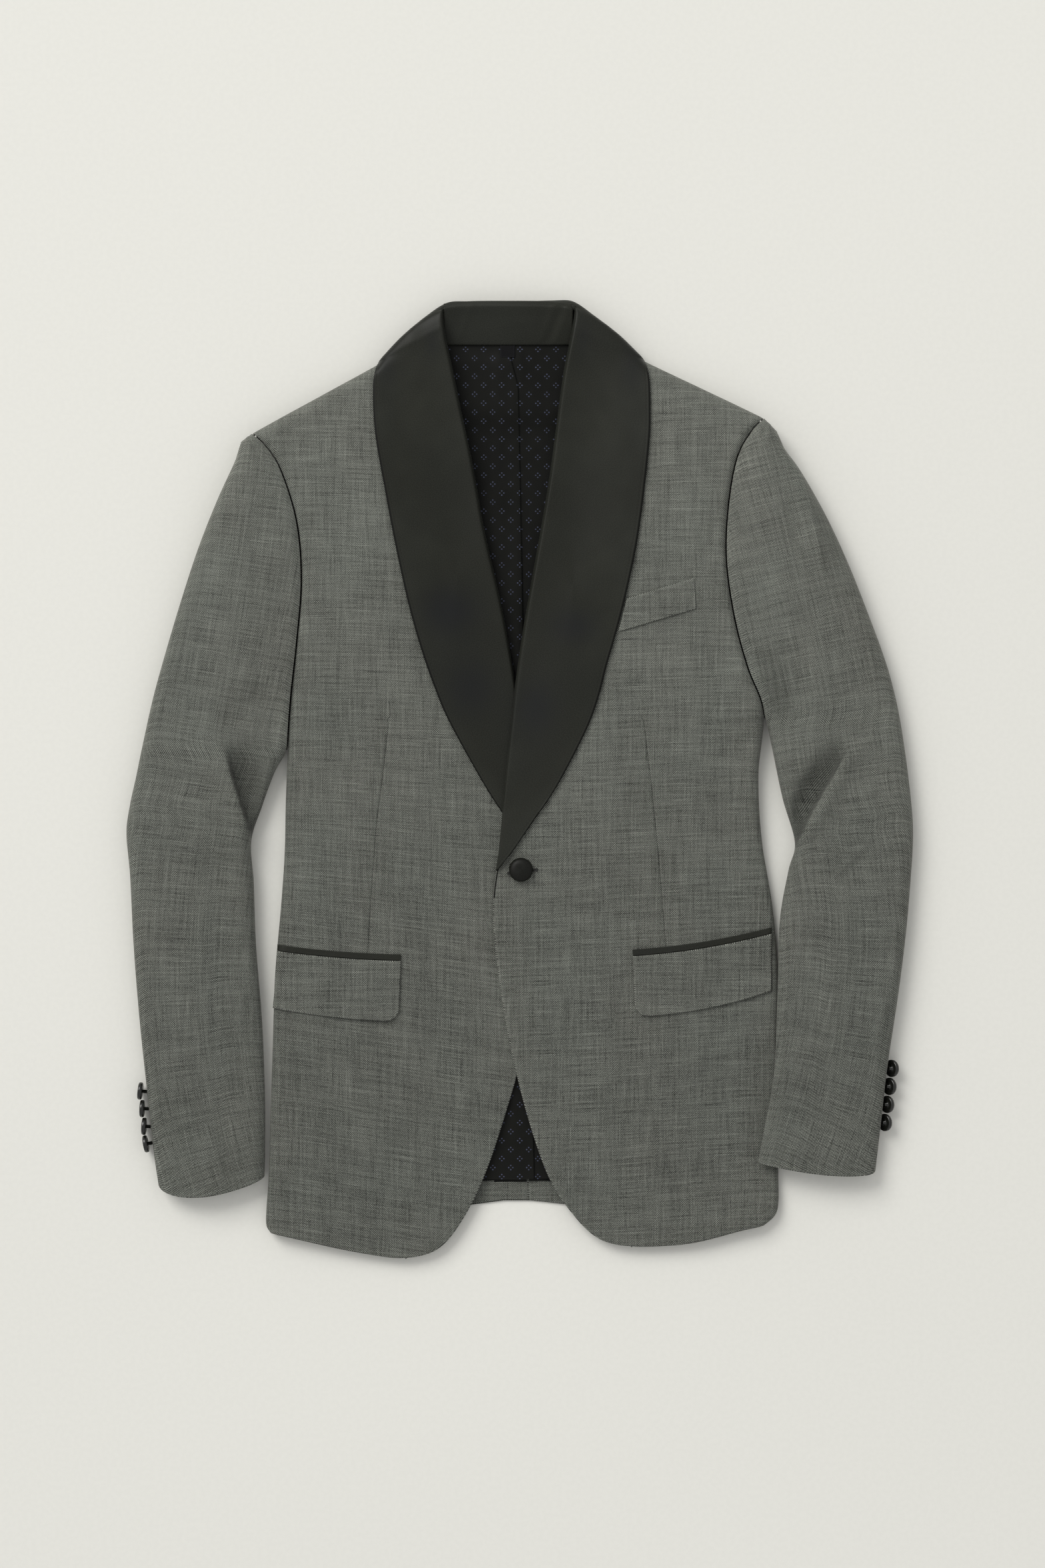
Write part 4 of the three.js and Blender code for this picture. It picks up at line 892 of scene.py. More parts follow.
def noise(tree, vector, detail=2.0, rough=0.5):
    made = node(tree, "ShaderNodeTexNoise", noise_dimensions="2D", Vector=vector, Scale=1, Detail=detail,
                Roughness=rough)
    return made.outputs["Fac"]


def field(tree, vector, across, down, shift=0.0, detail=2.0, rough=0.5):
    """Noise whose blots are about as long and as wide as the two lengths."""
    return noise(tree, stretched(tree, vector, across, down, shift), detail, rough)


def new_group(name, inputs, outputs):
    """A shader node group: inputs are numbers by label, None for map coordinates; outputs are labels."""
    group = bpy.data.node_groups.new(name, "ShaderNodeTree")
    for label, default in inputs.items():
        kind = "NodeSocketVector" if default is None else "NodeSocketFloat"
        socket = group.interface.new_socket(name=label, in_out="INPUT", socket_type=kind)
        if default is not None:
            socket.default_value = default
    for label in outputs.split():
        group.interface.new_socket(name=label, in_out="OUTPUT", socket_type="NodeSocketFloat")
    return group, group.nodes.new("NodeGroupInput").outputs, group.nodes.new("NodeGroupOutput").inputs


def weave_group():
    """Fine two-tone dots on the diagonal, whose contrast comes and goes."""
    sizes = {"Grain": None, "Pitch": 0.75, "Contrast": 0.5}
    group, given, result = new_group("Sharkskin weave", sizes, "Tone Height")
    grain = given["Grain"]
    split = node(group, "ShaderNodeSeparateXYZ", Vector=grain)
    turn = maths(group, "DIVIDE", 3.14159, given["Pitch"])
    drift = product(group, field(group, grain, 9, 9, 0, 1), 1.1)
    across, down = (
        maths(group, "SINE", product(group, total(group, split.outputs[k], drift), turn)) for k in (0, 1)
    )
    dots = product(group, across, down)
    patchy = centred(group, field(group, grain, 2.6, 2.2, 5), 0.5, 1.3)
    wire(group, result["Tone"], product(group, dots, patchy, given["Contrast"]))
    wire(group, result["Height"], dots)
    return group


# The slub threads by way of the cloth: length and width of a thread, the noise's range, strength and shift.
SLUBS = (
    ("Weft", 40, 0.66, 0.54, 0.78, 0.9, 3),
    ("Weft", 36, 0.62, 0.45, 0.23, -0.9, 11),
    ("Warp", 0.62, 36, 0.55, 0.79, 0.8, 19),
    ("Warp", 0.60, 32, 0.45, 0.23, -0.8, 27),
    ("Weft", 1.1, 1.0, 0.30, 0.70, 0.4, 51),
    ("Weft", 75, 2.2, 0.30, 0.70, 0.2, 35),
    ("Warp", 2.4, 60, 0.30, 0.70, 0.2, 43),
)


def slub_group():
    """Light and dark thick threads that run along the weft and the warp for a way and fade out."""
    group, given, result = new_group("Slub threads", {"Grain": None, "Weft": 0.5, "Warp": 0.3}, "Tone")
    parts = []
    for way, across, down, low, high, share, shift in SLUBS:
        threads = field(group, given["Grain"], across, down, shift, 1.5, 0.45)
        # The weaker ones are uneven tone on both sides of the middle, the others single threads.
        mask = remap(group, threads, low, high, -1.0 if abs(share) < 0.5 else 0.0, 1.0)
        parts.append(product(group, mask, share, given[way]))
    wire(group, result["Tone"], total(group, *parts))
    return group


def stitch_group():
    """A line of stitches: distance from it and way along it give a mask of thread and a groove's height."""
    sizes = {"Distance": 10.0, "Along": 0.0, "Width": 0.5, "Pitch": 3.0, "Filled": 0.6, "Pull": 2.5}
    group, given, result = new_group("Stitch line", sizes, "Thread Height")
    off = maths(group, "ABSOLUTE", given["Distance"])
    line = remap(group, maths(group, "DIVIDE", off, given["Width"]), 0.7, 1.2, 1.0, 0.0)
    beat = maths(group, "FRACT", maths(group, "DIVIDE", given["Along"], given["Pitch"]))
    stitch = remap(group, maths(group, "SUBTRACT", beat, given["Filled"]), -0.05, 0.05, 1.0, 0.0)
    pulled = remap(group, maths(group, "DIVIDE", off, given["Pull"]), 0.0, 1.0, -1.0, 0.0)
    wire(group, result["Thread"], product(group, line, stitch))
    wire(group, result["Height"], pulled)
    return group


def mottle_group():
    """Slow uneven tone, as handling and pressing leave it. On the satin it is painted sheen."""
    group, given, result = new_group("Handled tone and sheen", {"Grain": None, "Size": 60.0, "Strength": 0.1}, "Tone")
    size = node(group, "ShaderNodeCombineXYZ", X=given["Size"], Y=given["Size"], Z=given["Size"])
    scaled = node(group, "ShaderNodeVectorMath", operation="DIVIDE")
    wire(group, scaled.inputs[0], given["Grain"])
    wire(group, scaled.inputs[1], size.outputs[0])
    tone = centred(group, noise(group, scaled.outputs[0], 3, 0.55), -1.0, 1.0)
    wire(group, result["Tone"], product(group, tone, given["Strength"]))
    return group


def motif_group():
    """A small repeat of four dots set as a diamond, in half drop."""
    sizes = {"Grain": None, "Repeat": 15.3, "Spread": 1.75, "Dot": 0.64}
    group, given, result = new_group("Four dot motif", sizes, "Dots")
    split = node(group, "ShaderNodeSeparateXYZ", Vector=given["Grain"])
    drops = []
    for shift in (0.0, 0.5):
        spots = []
        for k in range(2):
            turned = maths(group, "ADD", maths(group, "DIVIDE", split.outputs[k], given["Repeat"]), shift)
            cell = maths(group, "SUBTRACT", maths(group, "FRACT", turned), 0.5)
            spots.append(maths(group, "ABSOLUTE", product(group, cell, given["Repeat"])))
        # Folding the diamond onto itself leaves one dot for all four.
        off = maths(group, "SUBTRACT", maths(group, "MAXIMUM", *spots), given["Spread"])
        shorter = maths(group, "MINIMUM", *spots)
        gap = maths(group, "SQRT", total(group, product(group, off, off), product(group, shorter, shorter)))
        drops.append(remap(group, maths(group, "DIVIDE", gap, given["Dot"]), 0.75, 1.15, 1.0, 0.0))
    wire(group, result["Dots"], maths(group, "MAXIMUM", *drops))
    return group


GROUP_MAKERS = {
    "weave": weave_group, "slub": slub_group, "stitch": stitch_group, "mottle": mottle_group,
    "motif": motif_group,
}
GROUPS = {}


def use_group(tree, name, **values):
    """Places a shared group, made the first time it is asked for, and returns its outputs."""
    if name not in GROUPS:
        GROUPS[name] = GROUP_MAKERS[name]()
    made = tree.nodes.new("ShaderNodeGroup")
    made.node_tree = GROUPS[name]
    for label, value in values.items():
        wire(tree, made.inputs[label], value)
    return made.outputs


def new_material(name):
    made = bpy.data.materials.new(name)
    made.use_nodes = True
    tree = made.node_tree
    shader = next(n for n in tree.nodes if n.type == "BSDF_PRINCIPLED")
    return made, tree, shader, node(tree, "ShaderNodeUVMap", uv_map="Grain").outputs[0]


def measured(tree, name):
    """A value that the mesh carries at its points."""
    return node(tree, "ShaderNodeAttribute", attribute_name=name).outputs["Fac"]


def opaque(colour, shares=(1, 1, 1)):
    """A colour of the settings with its three parts multiplied, and full cover."""
    return tuple(c * share for c, share in zip(colour, shares)) + (1,)


def toned(tree, colour, tone):
    """A colour made lighter or darker by 1 plus a tone."""
    factor = maths(tree, "MAXIMUM", maths(tree, "ADD", tone, 1.0), 0.05)
    grey = node(tree, "ShaderNodeCombineColor", Red=factor, Green=factor, Blue=factor)
    return blend_colours(tree, 1.0, colour, grey.outputs[0], "MULTIPLY")


def bumped(tree, height, distance, strength=1.0, below=None):
    made = node(tree, "ShaderNodeBump", Strength=strength, Distance=distance, Height=height)
    if below is not None:
        wire(tree, made.inputs["Normal"], below)
    return made.outputs[0]


def finish_shader(tree, shader, colour, rough, gloss, **others):
    """Wires or sets the shader's colour, roughness and gloss, and its other inputs by name."""
    named = {"Base_Color": colour, "Roughness": rough, "Specular_IOR_Level": gloss, **others}
    for label, value in named.items():
        wire(tree, shader.inputs[label.replace("_", " ")], value)


def wool_material(name="wool_sharkskin", dart=False):
    cloth = bpy.context.scene.tuxedo_cloth
    made, tree, shader, grain = new_material(name)
    weave = use_group(tree, "weave", Grain=grain, Pitch=cloth.weave_pitch, Contrast=cloth.weave_contrast)
    threads = cloth.slub_strength * 0.85
    slub = use_group(tree, "slub", Grain=grain, Weft=threads, Warp=threads)
    mottle = use_group(tree, "mottle", Grain=grain, Size=58.0, Strength=0.06)
    # Painted shade: the colour is darker towards the hem and lighter at the shoulders, since towards the hem
    # the cloth faces the light a little less than it does at the shoulders.
    length = node(tree, "ShaderNodeSeparateXYZ", Vector=grain)
    painted_hem_shade = remap(tree, length.outputs[1], -380.0, 360.0, -0.17, 0.10)
    tone = total(tree, weave["Tone"], slub["Tone"], mottle["Tone"], painted_hem_shade)
    height = total(tree, weave["Height"], product(tree, slub["Tone"], 1.5))
    normal = bumped(tree, height, 0.00004, 0.5)
    if dart:
        seam = use_group(tree, "stitch", Distance=measured(tree, "dart"), Along=0.0, Width=0.42, Pitch=100.0,
                         Filled=2.0, Pull=2.2)
        tone = total(tree, tone, product(tree, seam["Thread"], -0.62))
        normal = bumped(tree, seam["Height"], 0.0006, 0.8, normal)
    # The yarn is not dyed quite evenly.
    warmer = opaque(cloth.wool_colour, (1.03, 0.99, 0.99))
    colour = blend_colours(tree, field(tree, grain, 70, 90, 9), opaque(cloth.wool_colour), warmer)
    colour = toned(tree, colour, tone)
    # Its edges are worn a little lighter, and the sharp folds get painted shade, as little light comes into
    # them.
    colour = toned(tree, colour, remap(tree, measured(tree, "edge"), 0.0, 4.0, 0.10, 0.0))
    colour = toned(tree, colour, product(tree, measured(tree, "crease_shade"), -0.66))
    finish_shader(tree, shader, colour, remap(tree, tone, -0.6, 0.6, 0.92, 0.78), 0.22, Normal=normal,
                  Sheen_Weight=0.22, Sheen_Roughness=0.45, Sheen_Tint=(0.86, 0.83, 0.78, 1))
    return made


def satin_material(name="satin_black", stitched=False, gloss=0.14, depth=1.0, rough=0.4):
    satin = bpy.context.scene.tuxedo_cloth.satin_colour
    made, tree, shader, grain = new_material(name)
    rib = node(tree, "ShaderNodeTexWave", wave_type="BANDS", bands_direction="Y", wave_profile="SIN",
               Vector=grain, Scale=0.9, Distortion=0.6)
    # Painted sheen: on the satin the slow uneven tone stands in for the broad changes of its sheen.
    mottle = use_group(tree, "mottle", Grain=grain, Size=95.0, Strength=0.16)
    fine_grain = field(tree, grain, 0.8, 0.7, 2)
    tone = total(tree, mottle["Tone"], centred(tree, fine_grain, -0.22, 0.22))
    height = total(tree, product(tree, rib.outputs["Fac"], 0.3), fine_grain)
    cooler = opaque(satin, (depth * 0.97, depth, depth * 1.1))
    base = blend_colours(tree, field(tree, grain, 90, 120, 4, 1), opaque(satin, (depth,) * 3), cooler)
    colour = toned(tree, base, tone)
    normal = bumped(tree, height, 0.00005, 0.2)
    if stitched:
        # Stitches beside the outer edge, a dark line at that edge, and painted shade at the places turned
        # from the light.
        run = measured(tree, "edge_run")
        stitch = use_group(tree, "stitch", Distance=maths(tree, "SUBTRACT", run, 3.4),
                           Along=measured(tree, "along"), Width=0.35, Pitch=2.9, Filled=0.55, Pull=1.6)
        colour = blend_colours(tree, product(tree, stitch["Thread"], 0.25), colour, (0.002, 0.002, 0.002, 1))
        colour = toned(tree, colour, remap(tree, run, 0.3, 1.6, -0.75, 0.0))
        colour = blend_colours(tree, remap(tree, measured(tree, "dim"), 0.0, 1.0), colour,
                               opaque(satin, (0.56, 0.58, 0.86)))
        normal = bumped(tree, stitch["Height"], 0.0002, 0.3, normal)
    uneven = centred(tree, field(tree, grain, 30, 44, 7), rough, rough + 0.12)
    finish_shader(tree, shader, colour, uneven, gloss, Normal=normal, Sheen_Weight=0.02, Sheen_Roughness=0.35,
                  Anisotropic=0.35)
    return made


def lining_material(name="lining_dotted"):
    cloth = bpy.context.scene.tuxedo_cloth
    made, tree, shader, grain = new_material(name)
    dots = use_group(tree, "motif", Grain=grain, Repeat=cloth.motif_repeat)["Dots"]
    mottle = use_group(tree, "mottle", Grain=grain, Size=40.0, Strength=0.14)
    twill = node(tree, "ShaderNodeTexWave", wave_type="BANDS", bands_direction="DIAGONAL", wave_profile="SIN",
                 Vector=grain, Scale=0.8)
    colour = toned(tree, opaque(cloth.lining_colour), mottle["Tone"])
    worn = centred(tree, field(tree, grain, 4, 4, 3), 0.72, 1.0)
    colour = blend_colours(tree, product(tree, dots, worn), colour, opaque(cloth.motif_colour))
    height = total(tree, product(tree, dots, 1.6), product(tree, twill.outputs["Fac"], 0.4))
    finish_shader(tree, shader, colour, remap(tree, dots, 0.0, 1.0, 0.46, 0.62), 0.1,
                  Normal=bumped(tree, height, 0.00008, 0.5), Sheen_Weight=0.01)
    return made


def label_material(name="label_tab"):
    made, tree, shader, grain = new_material(name)
    warp = field(tree, grain, 0.5, 5, 2)
    colour = toned(tree, (0.0045, 0.0045, 0.0052, 1), centred(tree, warp, -0.25, 0.25))
    colour = toned(tree, colour, remap(tree, measured(tree, "edge"), 0.5, 1.1, 1.0, 0.0))
    finish_shader(tree, shader, colour, centred(tree, warp, 0.62, 0.78), 0.12,
                  Normal=bumped(tree, warp, 0.0001, 0.4))
    return made


def thread_material(name, colour):
    made, tree, shader, grain = new_material(name)
    twist = field(tree, grain, 0.6, 0.6, 1, 1)
    finish_shader(tree, shader, toned(tree, colour, centred(tree, twist, -0.25, 0.35)),
                  centred(tree, twist, 0.6, 0.8), 0.5)
    return made


def floor_material(name="pale_board"):
    stage = bpy.context.scene.tuxedo_stage
    made, tree, shader, _ = new_material(name)
    spot = node(tree, "ShaderNodeTexCoord").outputs["Object"]
    broad, grit = field(tree, spot, 1.3, 1.3, 3), field(tree, spot, 0.004, 0.004, 8)
    tone = total(tree, centred(tree, broad, -0.012, 0.012), centred(tree, grit, -0.008, 0.008))
    finish_shader(tree, shader, toned(tree, opaque(stage.floor_colour), tone), 0.85, 0.2,
                  Normal=bumped(tree, grit, 0.0001, 0.15))
    return made


MATERIAL_MAKERS = {
    "wool": wool_material,
    "wool_front": lambda: wool_material("wool_sharkskin_front", dart=True),
    "satin": satin_material,
    "satin_lapel": lambda: satin_material("satin_black_lapel", stitched=True),
    "satin_button": lambda: satin_material("satin_black_button", gloss=0.16, depth=0.35),
    "cuff_button": lambda: satin_material("black_cuff_button", gloss=0.58, depth=0.3, rough=0.2),
    "lining": lining_material,
    "label": label_material,
    "dark_thread": lambda: thread_material("dark_thread", (0.012, 0.012, 0.011, 1)),
    "floor": floor_material,
}
MATERIALS = {}


def material(name):
    """A material by name, made the first time it is asked for."""
    if name not in MATERIALS:
        MATERIALS[name] = MATERIAL_MAKERS[name]()
    return MATERIALS[name]


# ---- Pieces


def cloth_piece(node_name, slot, outer, inward, thickness, uv, looks, values, kinds=None):
    """A piece of cloth in place of a solid, which lies on others and has its cut in the table."""
    finishes = [material(look) for look in looks]
    piece = shell(f"{node_name}_cloth", outer, inward, thickness, uv, finishes, values, kinds)
    finish_piece(piece, slot, node_name)
    return piece


def fine(*parts):
    """Sample positions: (from, to, count) for each stretch, joined."""
    lists = [np.linspace(a, b, count, endpoint=False) for a, b, count in parts]
    return np.concatenate([*lists, [parts[-1][1]]])


def front_relief(side, x, y):
    """Height of the front's own creases, swells and the dart's pull."""
    strength = bpy.context.scene.tuxedo_shape.fold_strength
    relief = soft_relief(x, y, SOFT_FOLDS[f"front_{side}"]) * strength
    relief = relief + cloth_swell(x, y, 0.12, 1 if side == "right" else 2) * strength
    off, way, whole = line_distance(x, y, DARTS[side])
    return relief - 0.35 * ease(way / whole, 0, 0.12) * np.exp(-((off / 5) ** 2))


def front_shell(side):
    columns, out = SIDES[side]["front"], SIDES[side]["out"]
    rows = fine((SHOULDER_END_ROW, 1, 15), (1, HEM_ROW, 240))
    row, across = np.meshgrid(rows, fine((0, 1, 78), (1, 2, 16)), indexing="ij")
    at, normal = frames(lambda u, v: front_point(side, u, v), row, across)
    normal = normal * out
    lapel = np.where(row < SIDES[side]["last_row"], column(columns, "lapel", row), 0)
    clear = ease(arc(at, 1) - lapel, 2, 16)
    border = border_distance(at)
    relief = front_relief(side, at[..., 0], at[..., 1]) * clear * ease(border, 0, 16)
    # The turned edges of the hem and the front are a little fuller than the cloth inside them.
    relief = relief + 0.25 * np.exp(-((border - 5) / 4) ** 2) * ease(row, 9, 11)
    dart, _, _ = line_distance(at[..., 0], at[..., 1], DARTS[side])
    values = {"dart": dart, "edge": border}
    # The facing pulls the corner of the hem up a little.
    corner = at[-1, 0]
    at[..., 1] += 3.2 * np.exp(-np.hypot(at[..., 0] - corner[0], at[..., 1] - corner[1]) / 9)
    kinds = ((across > FACING_SHARE) & (row < FRONT_LINING_ROW)).astype(int)
    uv = planar_uv(at)
    uv[..., 1] += (uv[..., 0] - out * DART_OUT) * GRAIN_TURN[side] * ease(-uv[..., 1], -100, 220)
    return cloth_piece(
        f"front_{side}", "wool_grey",
        at + normal * relief[..., None], -normal, FRONT_CLOTH, uv, ["wool_front", "lining"], values, kinds,
    )


def side_panel_shell(side):
    out = SIDES[side]["out"]
    row, across = np.meshgrid(fine((7.12, HEM_ROW, 150)), fine((0, 1, 12), (1, 2, 14)), indexing="ij")
    at, normal = frames(lambda u, v: side_point(side, u, v), row, across)
    return cloth_piece(
        f"side_panel_{side}", "wool_grey", at, -normal * out, BACK_CLOTH, planar_uv(at),
        ["wool", "lining"], {"edge": border_distance(at)}, (row < 16.2).astype(int),
    )


def back_shell(side):
    out = SIDES[side]["out"]
    turn, share = np.meshgrid(fine((0, 1, 12), (1, HEM_ROW, 190)), fine((0, 1, 64)), indexing="ij")
    at, normal = frames(lambda u, v: back_point(side, u, v), turn, share)
    kinds = (at[..., 1] > BACK_HEM_Y + HEM_REVEAL - 1).astype(int)
    return cloth_piece(
        f"back_{side}", "wool_grey", at, -normal * out, BACK_CLOTH, planar_uv(at),
        ["wool", "lining"], {"edge": border_distance(at)}, kinds,
    )


def lining_shell(side):
    row, share = np.meshgrid(fine((1, 14, 170)), fine((0, 0.9, 44), (0.9, 1, 12)), indexing="ij")
    at, normal = frames(lambda u, v: lining_point(side, u, v), row, share)
    x, y = at[..., 0], at[..., 1]
    upward = np.sign(normal[..., 2:3].mean())
    border = border_distance(at)
    # The pleat's fold and slack cloth beside it rise a little.
    relief = 0.16 * cloth_swell(x, y, 1, 7) * ease(border, 1, 12)
    fold, _, _ = line_distance(x, y, [(-9, 372), (-9, 98), (6, -339)])
    relief = relief + 0.3 * np.exp(-((np.abs(fold) - 9) / 4) ** 2) * ease(border, 0, 5)
    return cloth_piece(
        f"back_lining_{side}", "lining_black", at + normal * upward * relief[..., None],
        -normal * upward, LINING_CLOTH, planar_uv(at), ["lining"], {},
    )


def grain_along(at, middle):
    """Map coordinates along a sleeve: across its own smooth middle line and along that line."""
    flat = planar_uv(at)
    spine = at[:, middle]
    bend = np.polynomial.Polynomial.fit(spine[:, 1], spine[:, 0], 3)
    y = np.clip(flat[..., 1], spine[:, 1].min(), spine[:, 1].max())
    off = flat[..., 0] - bend(y)
    return np.stack([off, flat[..., 1] + off * bend.deriv()(y)], axis=-1)


def sleeve_shell(side, under):
    out = SIDES[side]["out"]
    name = f"sleeve_{'under' if under else 'upper'}_{side}"
    strength = bpy.context.scene.tuxedo_shape.fold_strength
    start, to_armpit, to_cuff, over = (0.1, 70, 90, 24) if under else (0.03, 100, 140, 46)
    rows = fine((start, 1, 10), (1, ARMPIT_ROW, to_armpit), (ARMPIT_ROW, CUFF_ROW, to_cuff))
    columns = fine((-1, 0, 12), (0, 1, over), (1, 2, 12))
    row, across = np.meshgrid(rows, columns, indexing="ij")
    at, normal = frames(lambda u, v: sleeve_point(side, u, v, under), row, across)
    inward = normal * out * (1 if under else -1)
    border = border_distance(at)
    relief = crease_shade = np.zeros(row.shape)
    if not under:
        x, y = at[..., 0], at[..., 1]
        # The sharp folds give the painted shade in their valleys as well as their height.
        steps, crease_shade = step_relief(x, y, STEP_FOLDS[side])
        relief = soft_relief(x, y, SOFT_FOLDS[f"sleeve_{side}"]) * strength
        relief = relief + steps * strength
        relief = relief + cloth_swell(x, y, 0.16, 3 if side == "right" else 4) * strength
        # The cap is eased into the armhole, so it puckers a little beside the seam.
        pucker = np.sin(arc(at, 0) / PUCKER_PITCH * 2 * np.pi) * 0.16 * np.exp(-((arc(at, 1) - 7) / 6) ** 2)
        pucker = pucker * ease(7.5 - row, 0, 2)
        relief = relief * ease(across, -1, 0.1) * (1 - ease(across, 1.2, 1.9))
        relief = (relief + pucker) * ease(border, 0, 12)
    middle = int(np.argmin(np.abs(columns - 0.5)))
    return cloth_piece(
        name, "wool_grey",
        at - inward * relief[..., None], inward, SLEEVE_CLOTH, grain_along(at, middle),
        ["wool", "lining"], {"edge": border, "crease_shade": crease_shade}, (row < 15.4).astype(int),
    )


def lapel_section(side, row, t):
    """One section of the lapel: its lip under the roll line, then its face out to the edge."""
    columns, out = SIDES[side]["front"], SIDES[side]["out"]
    narrow = SIDES[side]["last_row"] - LAPEL_TIP_ROWS
    width = float(column(columns, "lapel", min(row, narrow)))
    width = max(width * min(1, 1 - (row - narrow) / (LAPEL_TIP_ROWS + 0.01)), 0.5)
    reach = mix(LIP_REACH, 0.8, float(ease(row, 6.5, 9)))
    edge = np.array([float(v) for v in row_point(columns, "edge", row)])
    side_at = np.array([float(v) for v in row_point(columns, "side", row)])
    span = np.linalg.norm(edge - side_at)
    away = (edge - side_at) / span
    spring = mix(4.2, 0.8, float(ease(row, 1, 6.5)))

    def raised(distance):
        return COLLAR_CLOTH + 1.4 * LAY + spring * np.exp(-distance / 17)

    top = float(column(columns, "edge_top", row)) + raised(0)
    lip = points(
        edge[0] + away[0] * reach * np.sin(LIP_ANGLES),
        edge[1] + away[1] * reach * np.sin(LIP_ANGLES),
        top - (raised(0) + 1.5) * (1 - np.cos(LIP_ANGLES)),
    )
    at, normal = frames(lambda u, v: front_point(side, u, v), row, width * t / (span - BODY_ROLL))
    return np.concatenate([lip, at + normal * out * raised(width * t)[:, None]])


def even_curve(knots, count):
    """Points at even distances along a centripetal curve through the knots."""
    knots = np.asarray(knots, float)
    ends = [2 * knots[0] - knots[1], *knots, 2 * knots[-1] - knots[-2]]
    found = []
    for p0, p1, p2, p3 in zip(ends, ends[1:], ends[2:], ends[3:]):
        k0, k1, k2 = (max(np.linalg.norm(b - a) ** 0.5, 1e-4) for a, b in ((p0, p1), (p1, p2), (p2, p3)))
        m1 = ((p1 - p0) / k0 - (p2 - p0) / (k0 + k1) + (p2 - p1) / k1) * k1
        m2 = ((p2 - p1) / k1 - (p3 - p1) / (k1 + k2) + (p3 - p2) / k2) * k1
        found.append(curve(p1, p2, m1, m2, np.linspace(0, 1, 40, endpoint=False)[:, None]))
    found = np.concatenate([*found, knots[-1:]])
    way = np.concatenate([[0], np.cumsum(np.linalg.norm(np.diff(found, axis=0), axis=1))])
    wanted = np.linspace(0, way[-1], count)
    return np.stack([np.interp(wanted, way, found[:, k]) for k in range(3)], axis=1)


def neck_section(side, row, shares):
    """One section of the collar round the neck, from its roll over the turn to the tail beneath the back."""
    columns = SIDES[side]["neck"]
    at_row = {name: float(column(columns, name, row)) for name in columns}
    roll, turn, tail = (
        np.array([at_row[f"{name}_x"], at_row[f"{name}_y"]]) for name in ("roll", "turn", "tail")
    )
    turn_top = at_row["turn_top"]
    to_roll, to_tail = roll - turn, tail - turn
    top_inset, tail_inset = min(9, np.linalg.norm(to_roll) * 0.5), min(9, np.linalg.norm(to_tail) * 0.6)
    to_roll, to_tail = to_roll / np.linalg.norm(to_roll), to_tail / np.linalg.norm(to_tail)
    knots = [
        [*roll, at_row["roll_top"]],
        [*(turn + to_roll * top_inset), turn_top],
        [*(turn + to_roll * (top_inset * 0.3)), turn_top * 0.86],
        [*turn, turn_top * 0.5],
        [*(turn + to_tail * (tail_inset * 0.3)), turn_top * 0.14],
        [*(turn + to_tail * tail_inset), 0],
        [*tail, 0],
    ]
    stand = float(ease(row, 1.6, 3))
    flat = np.linspace(3, 0.4, len(LIP_ANGLES))
    reach = mix(LIP_REACH * np.sin(LIP_ANGLES), flat * 0.6, stand)
    down = mix(7 * (1 - np.cos(LIP_ANGLES)), flat * 0.16, stand)
    lip = points(roll[0] + to_roll[0] * reach, roll[1] + to_roll[1] * reach, at_row["roll_top"] - down)
    fine_face = even_curve(knots, 400)
    face = np.stack([np.interp(shares * 399, np.arange(400), fine_face[:, k]) for k in range(3)], axis=1)
    face[:, 2] = np.maximum(face[:, 2], 0)
    return np.concatenate([lip, face])


def shoulder_section(side, share, t):
    """A section where the collar passes over the shoulder: share is 0 on its crown and 1 at the neck."""
    columns = SIDES[side]["front"]
    crown = lapel_section(side, 1.0, t)
    neck = neck_section(side, 0, t * mix(NECK_FACE, 1, share))
    at = mix(crown, neck, share)
    at[-len(t) :, 1] += 3.5 * np.sin(np.pi * share) * ease(t, 0.5, 0.9)
    # It stays clear of the shoulder, which falls away beyond its crown.
    edge_x, edge_y, side_x, side_y = (columns[name][1] for name in ("edge_x", "edge_y", "side_x", "side_y"))
    crown_y = edge_y + (at[:, 0] - edge_x) * (side_y - edge_y) / (side_x - edge_x)
    reach = np.clip((at[:, 1] - crown_y) / SHOULDER_FALL, 0, 1)
    lowest = crown[:, 2] * (1 + np.sqrt(1 - reach**2)) / 2
    face = np.arange(len(at)) >= len(at) - len(t)
    at[:, 2] = np.where(face & (reach < 1) & (share < 0.6), np.maximum(at[:, 2], lowest), at[:, 2])
    return at


def through(sections, times):
    """A smooth surface through sections: times as many rows, with every section kept."""
    s = np.asarray(sections)
    padded = np.concatenate([2 * s[:1] - s[1:2], s, 2 * s[-1:] - s[-2:-1]])
    rows = []
    for k in range(len(s) - 1):
        p0, p1, p2, p3 = padded[k : k + 4]
        m1, m2 = (p2 - p0) / 2, (p3 - p1) / 2
        # A short step beside a long one takes the short one's slope, so the surface doesn't overshoot.
        here = np.linalg.norm(p2 - p1, axis=-1, keepdims=True) + 1e-6
        lengths = [np.linalg.norm(m, axis=-1, keepdims=True) + 1e-6 for m in (m1, m2)]
        m1, m2 = (m * np.minimum(1, 1.4 * here / length) for m, length in zip((m1, m2), lengths))
        rows += [curve(p1, p2, m1, m2, t) for t in np.arange(times) / times]
    return np.array([*rows, s[-1]])


def grid_normals(at):
    """Directions across a grid of points, from the ways to the neighbours of each."""
    def ways(axis):
        step = unit(np.diff(at, axis=axis))
        pad = [(0, 0)] * 3
        pad[axis] = (0, 1)
        after = np.pad(step, pad)
        pad[axis] = (1, 0)
        return after + np.pad(step, pad)
    return unit(np.cross(ways(0), ways(1)))


# Sections of the collar: over the shoulder by share of the way, then round the neck by row of its table.
SHOULDER_SHARES = (0.14, 0.28, 0.42, 0.56, 0.7, 0.85)
NECK_ROWS = (0, 0.35, 0.7, 1.1, 1.5, 1.9, 2.3, 2.7, 3.1, 3.7, 4.3, 5)
COLLAR_STEPS = 7


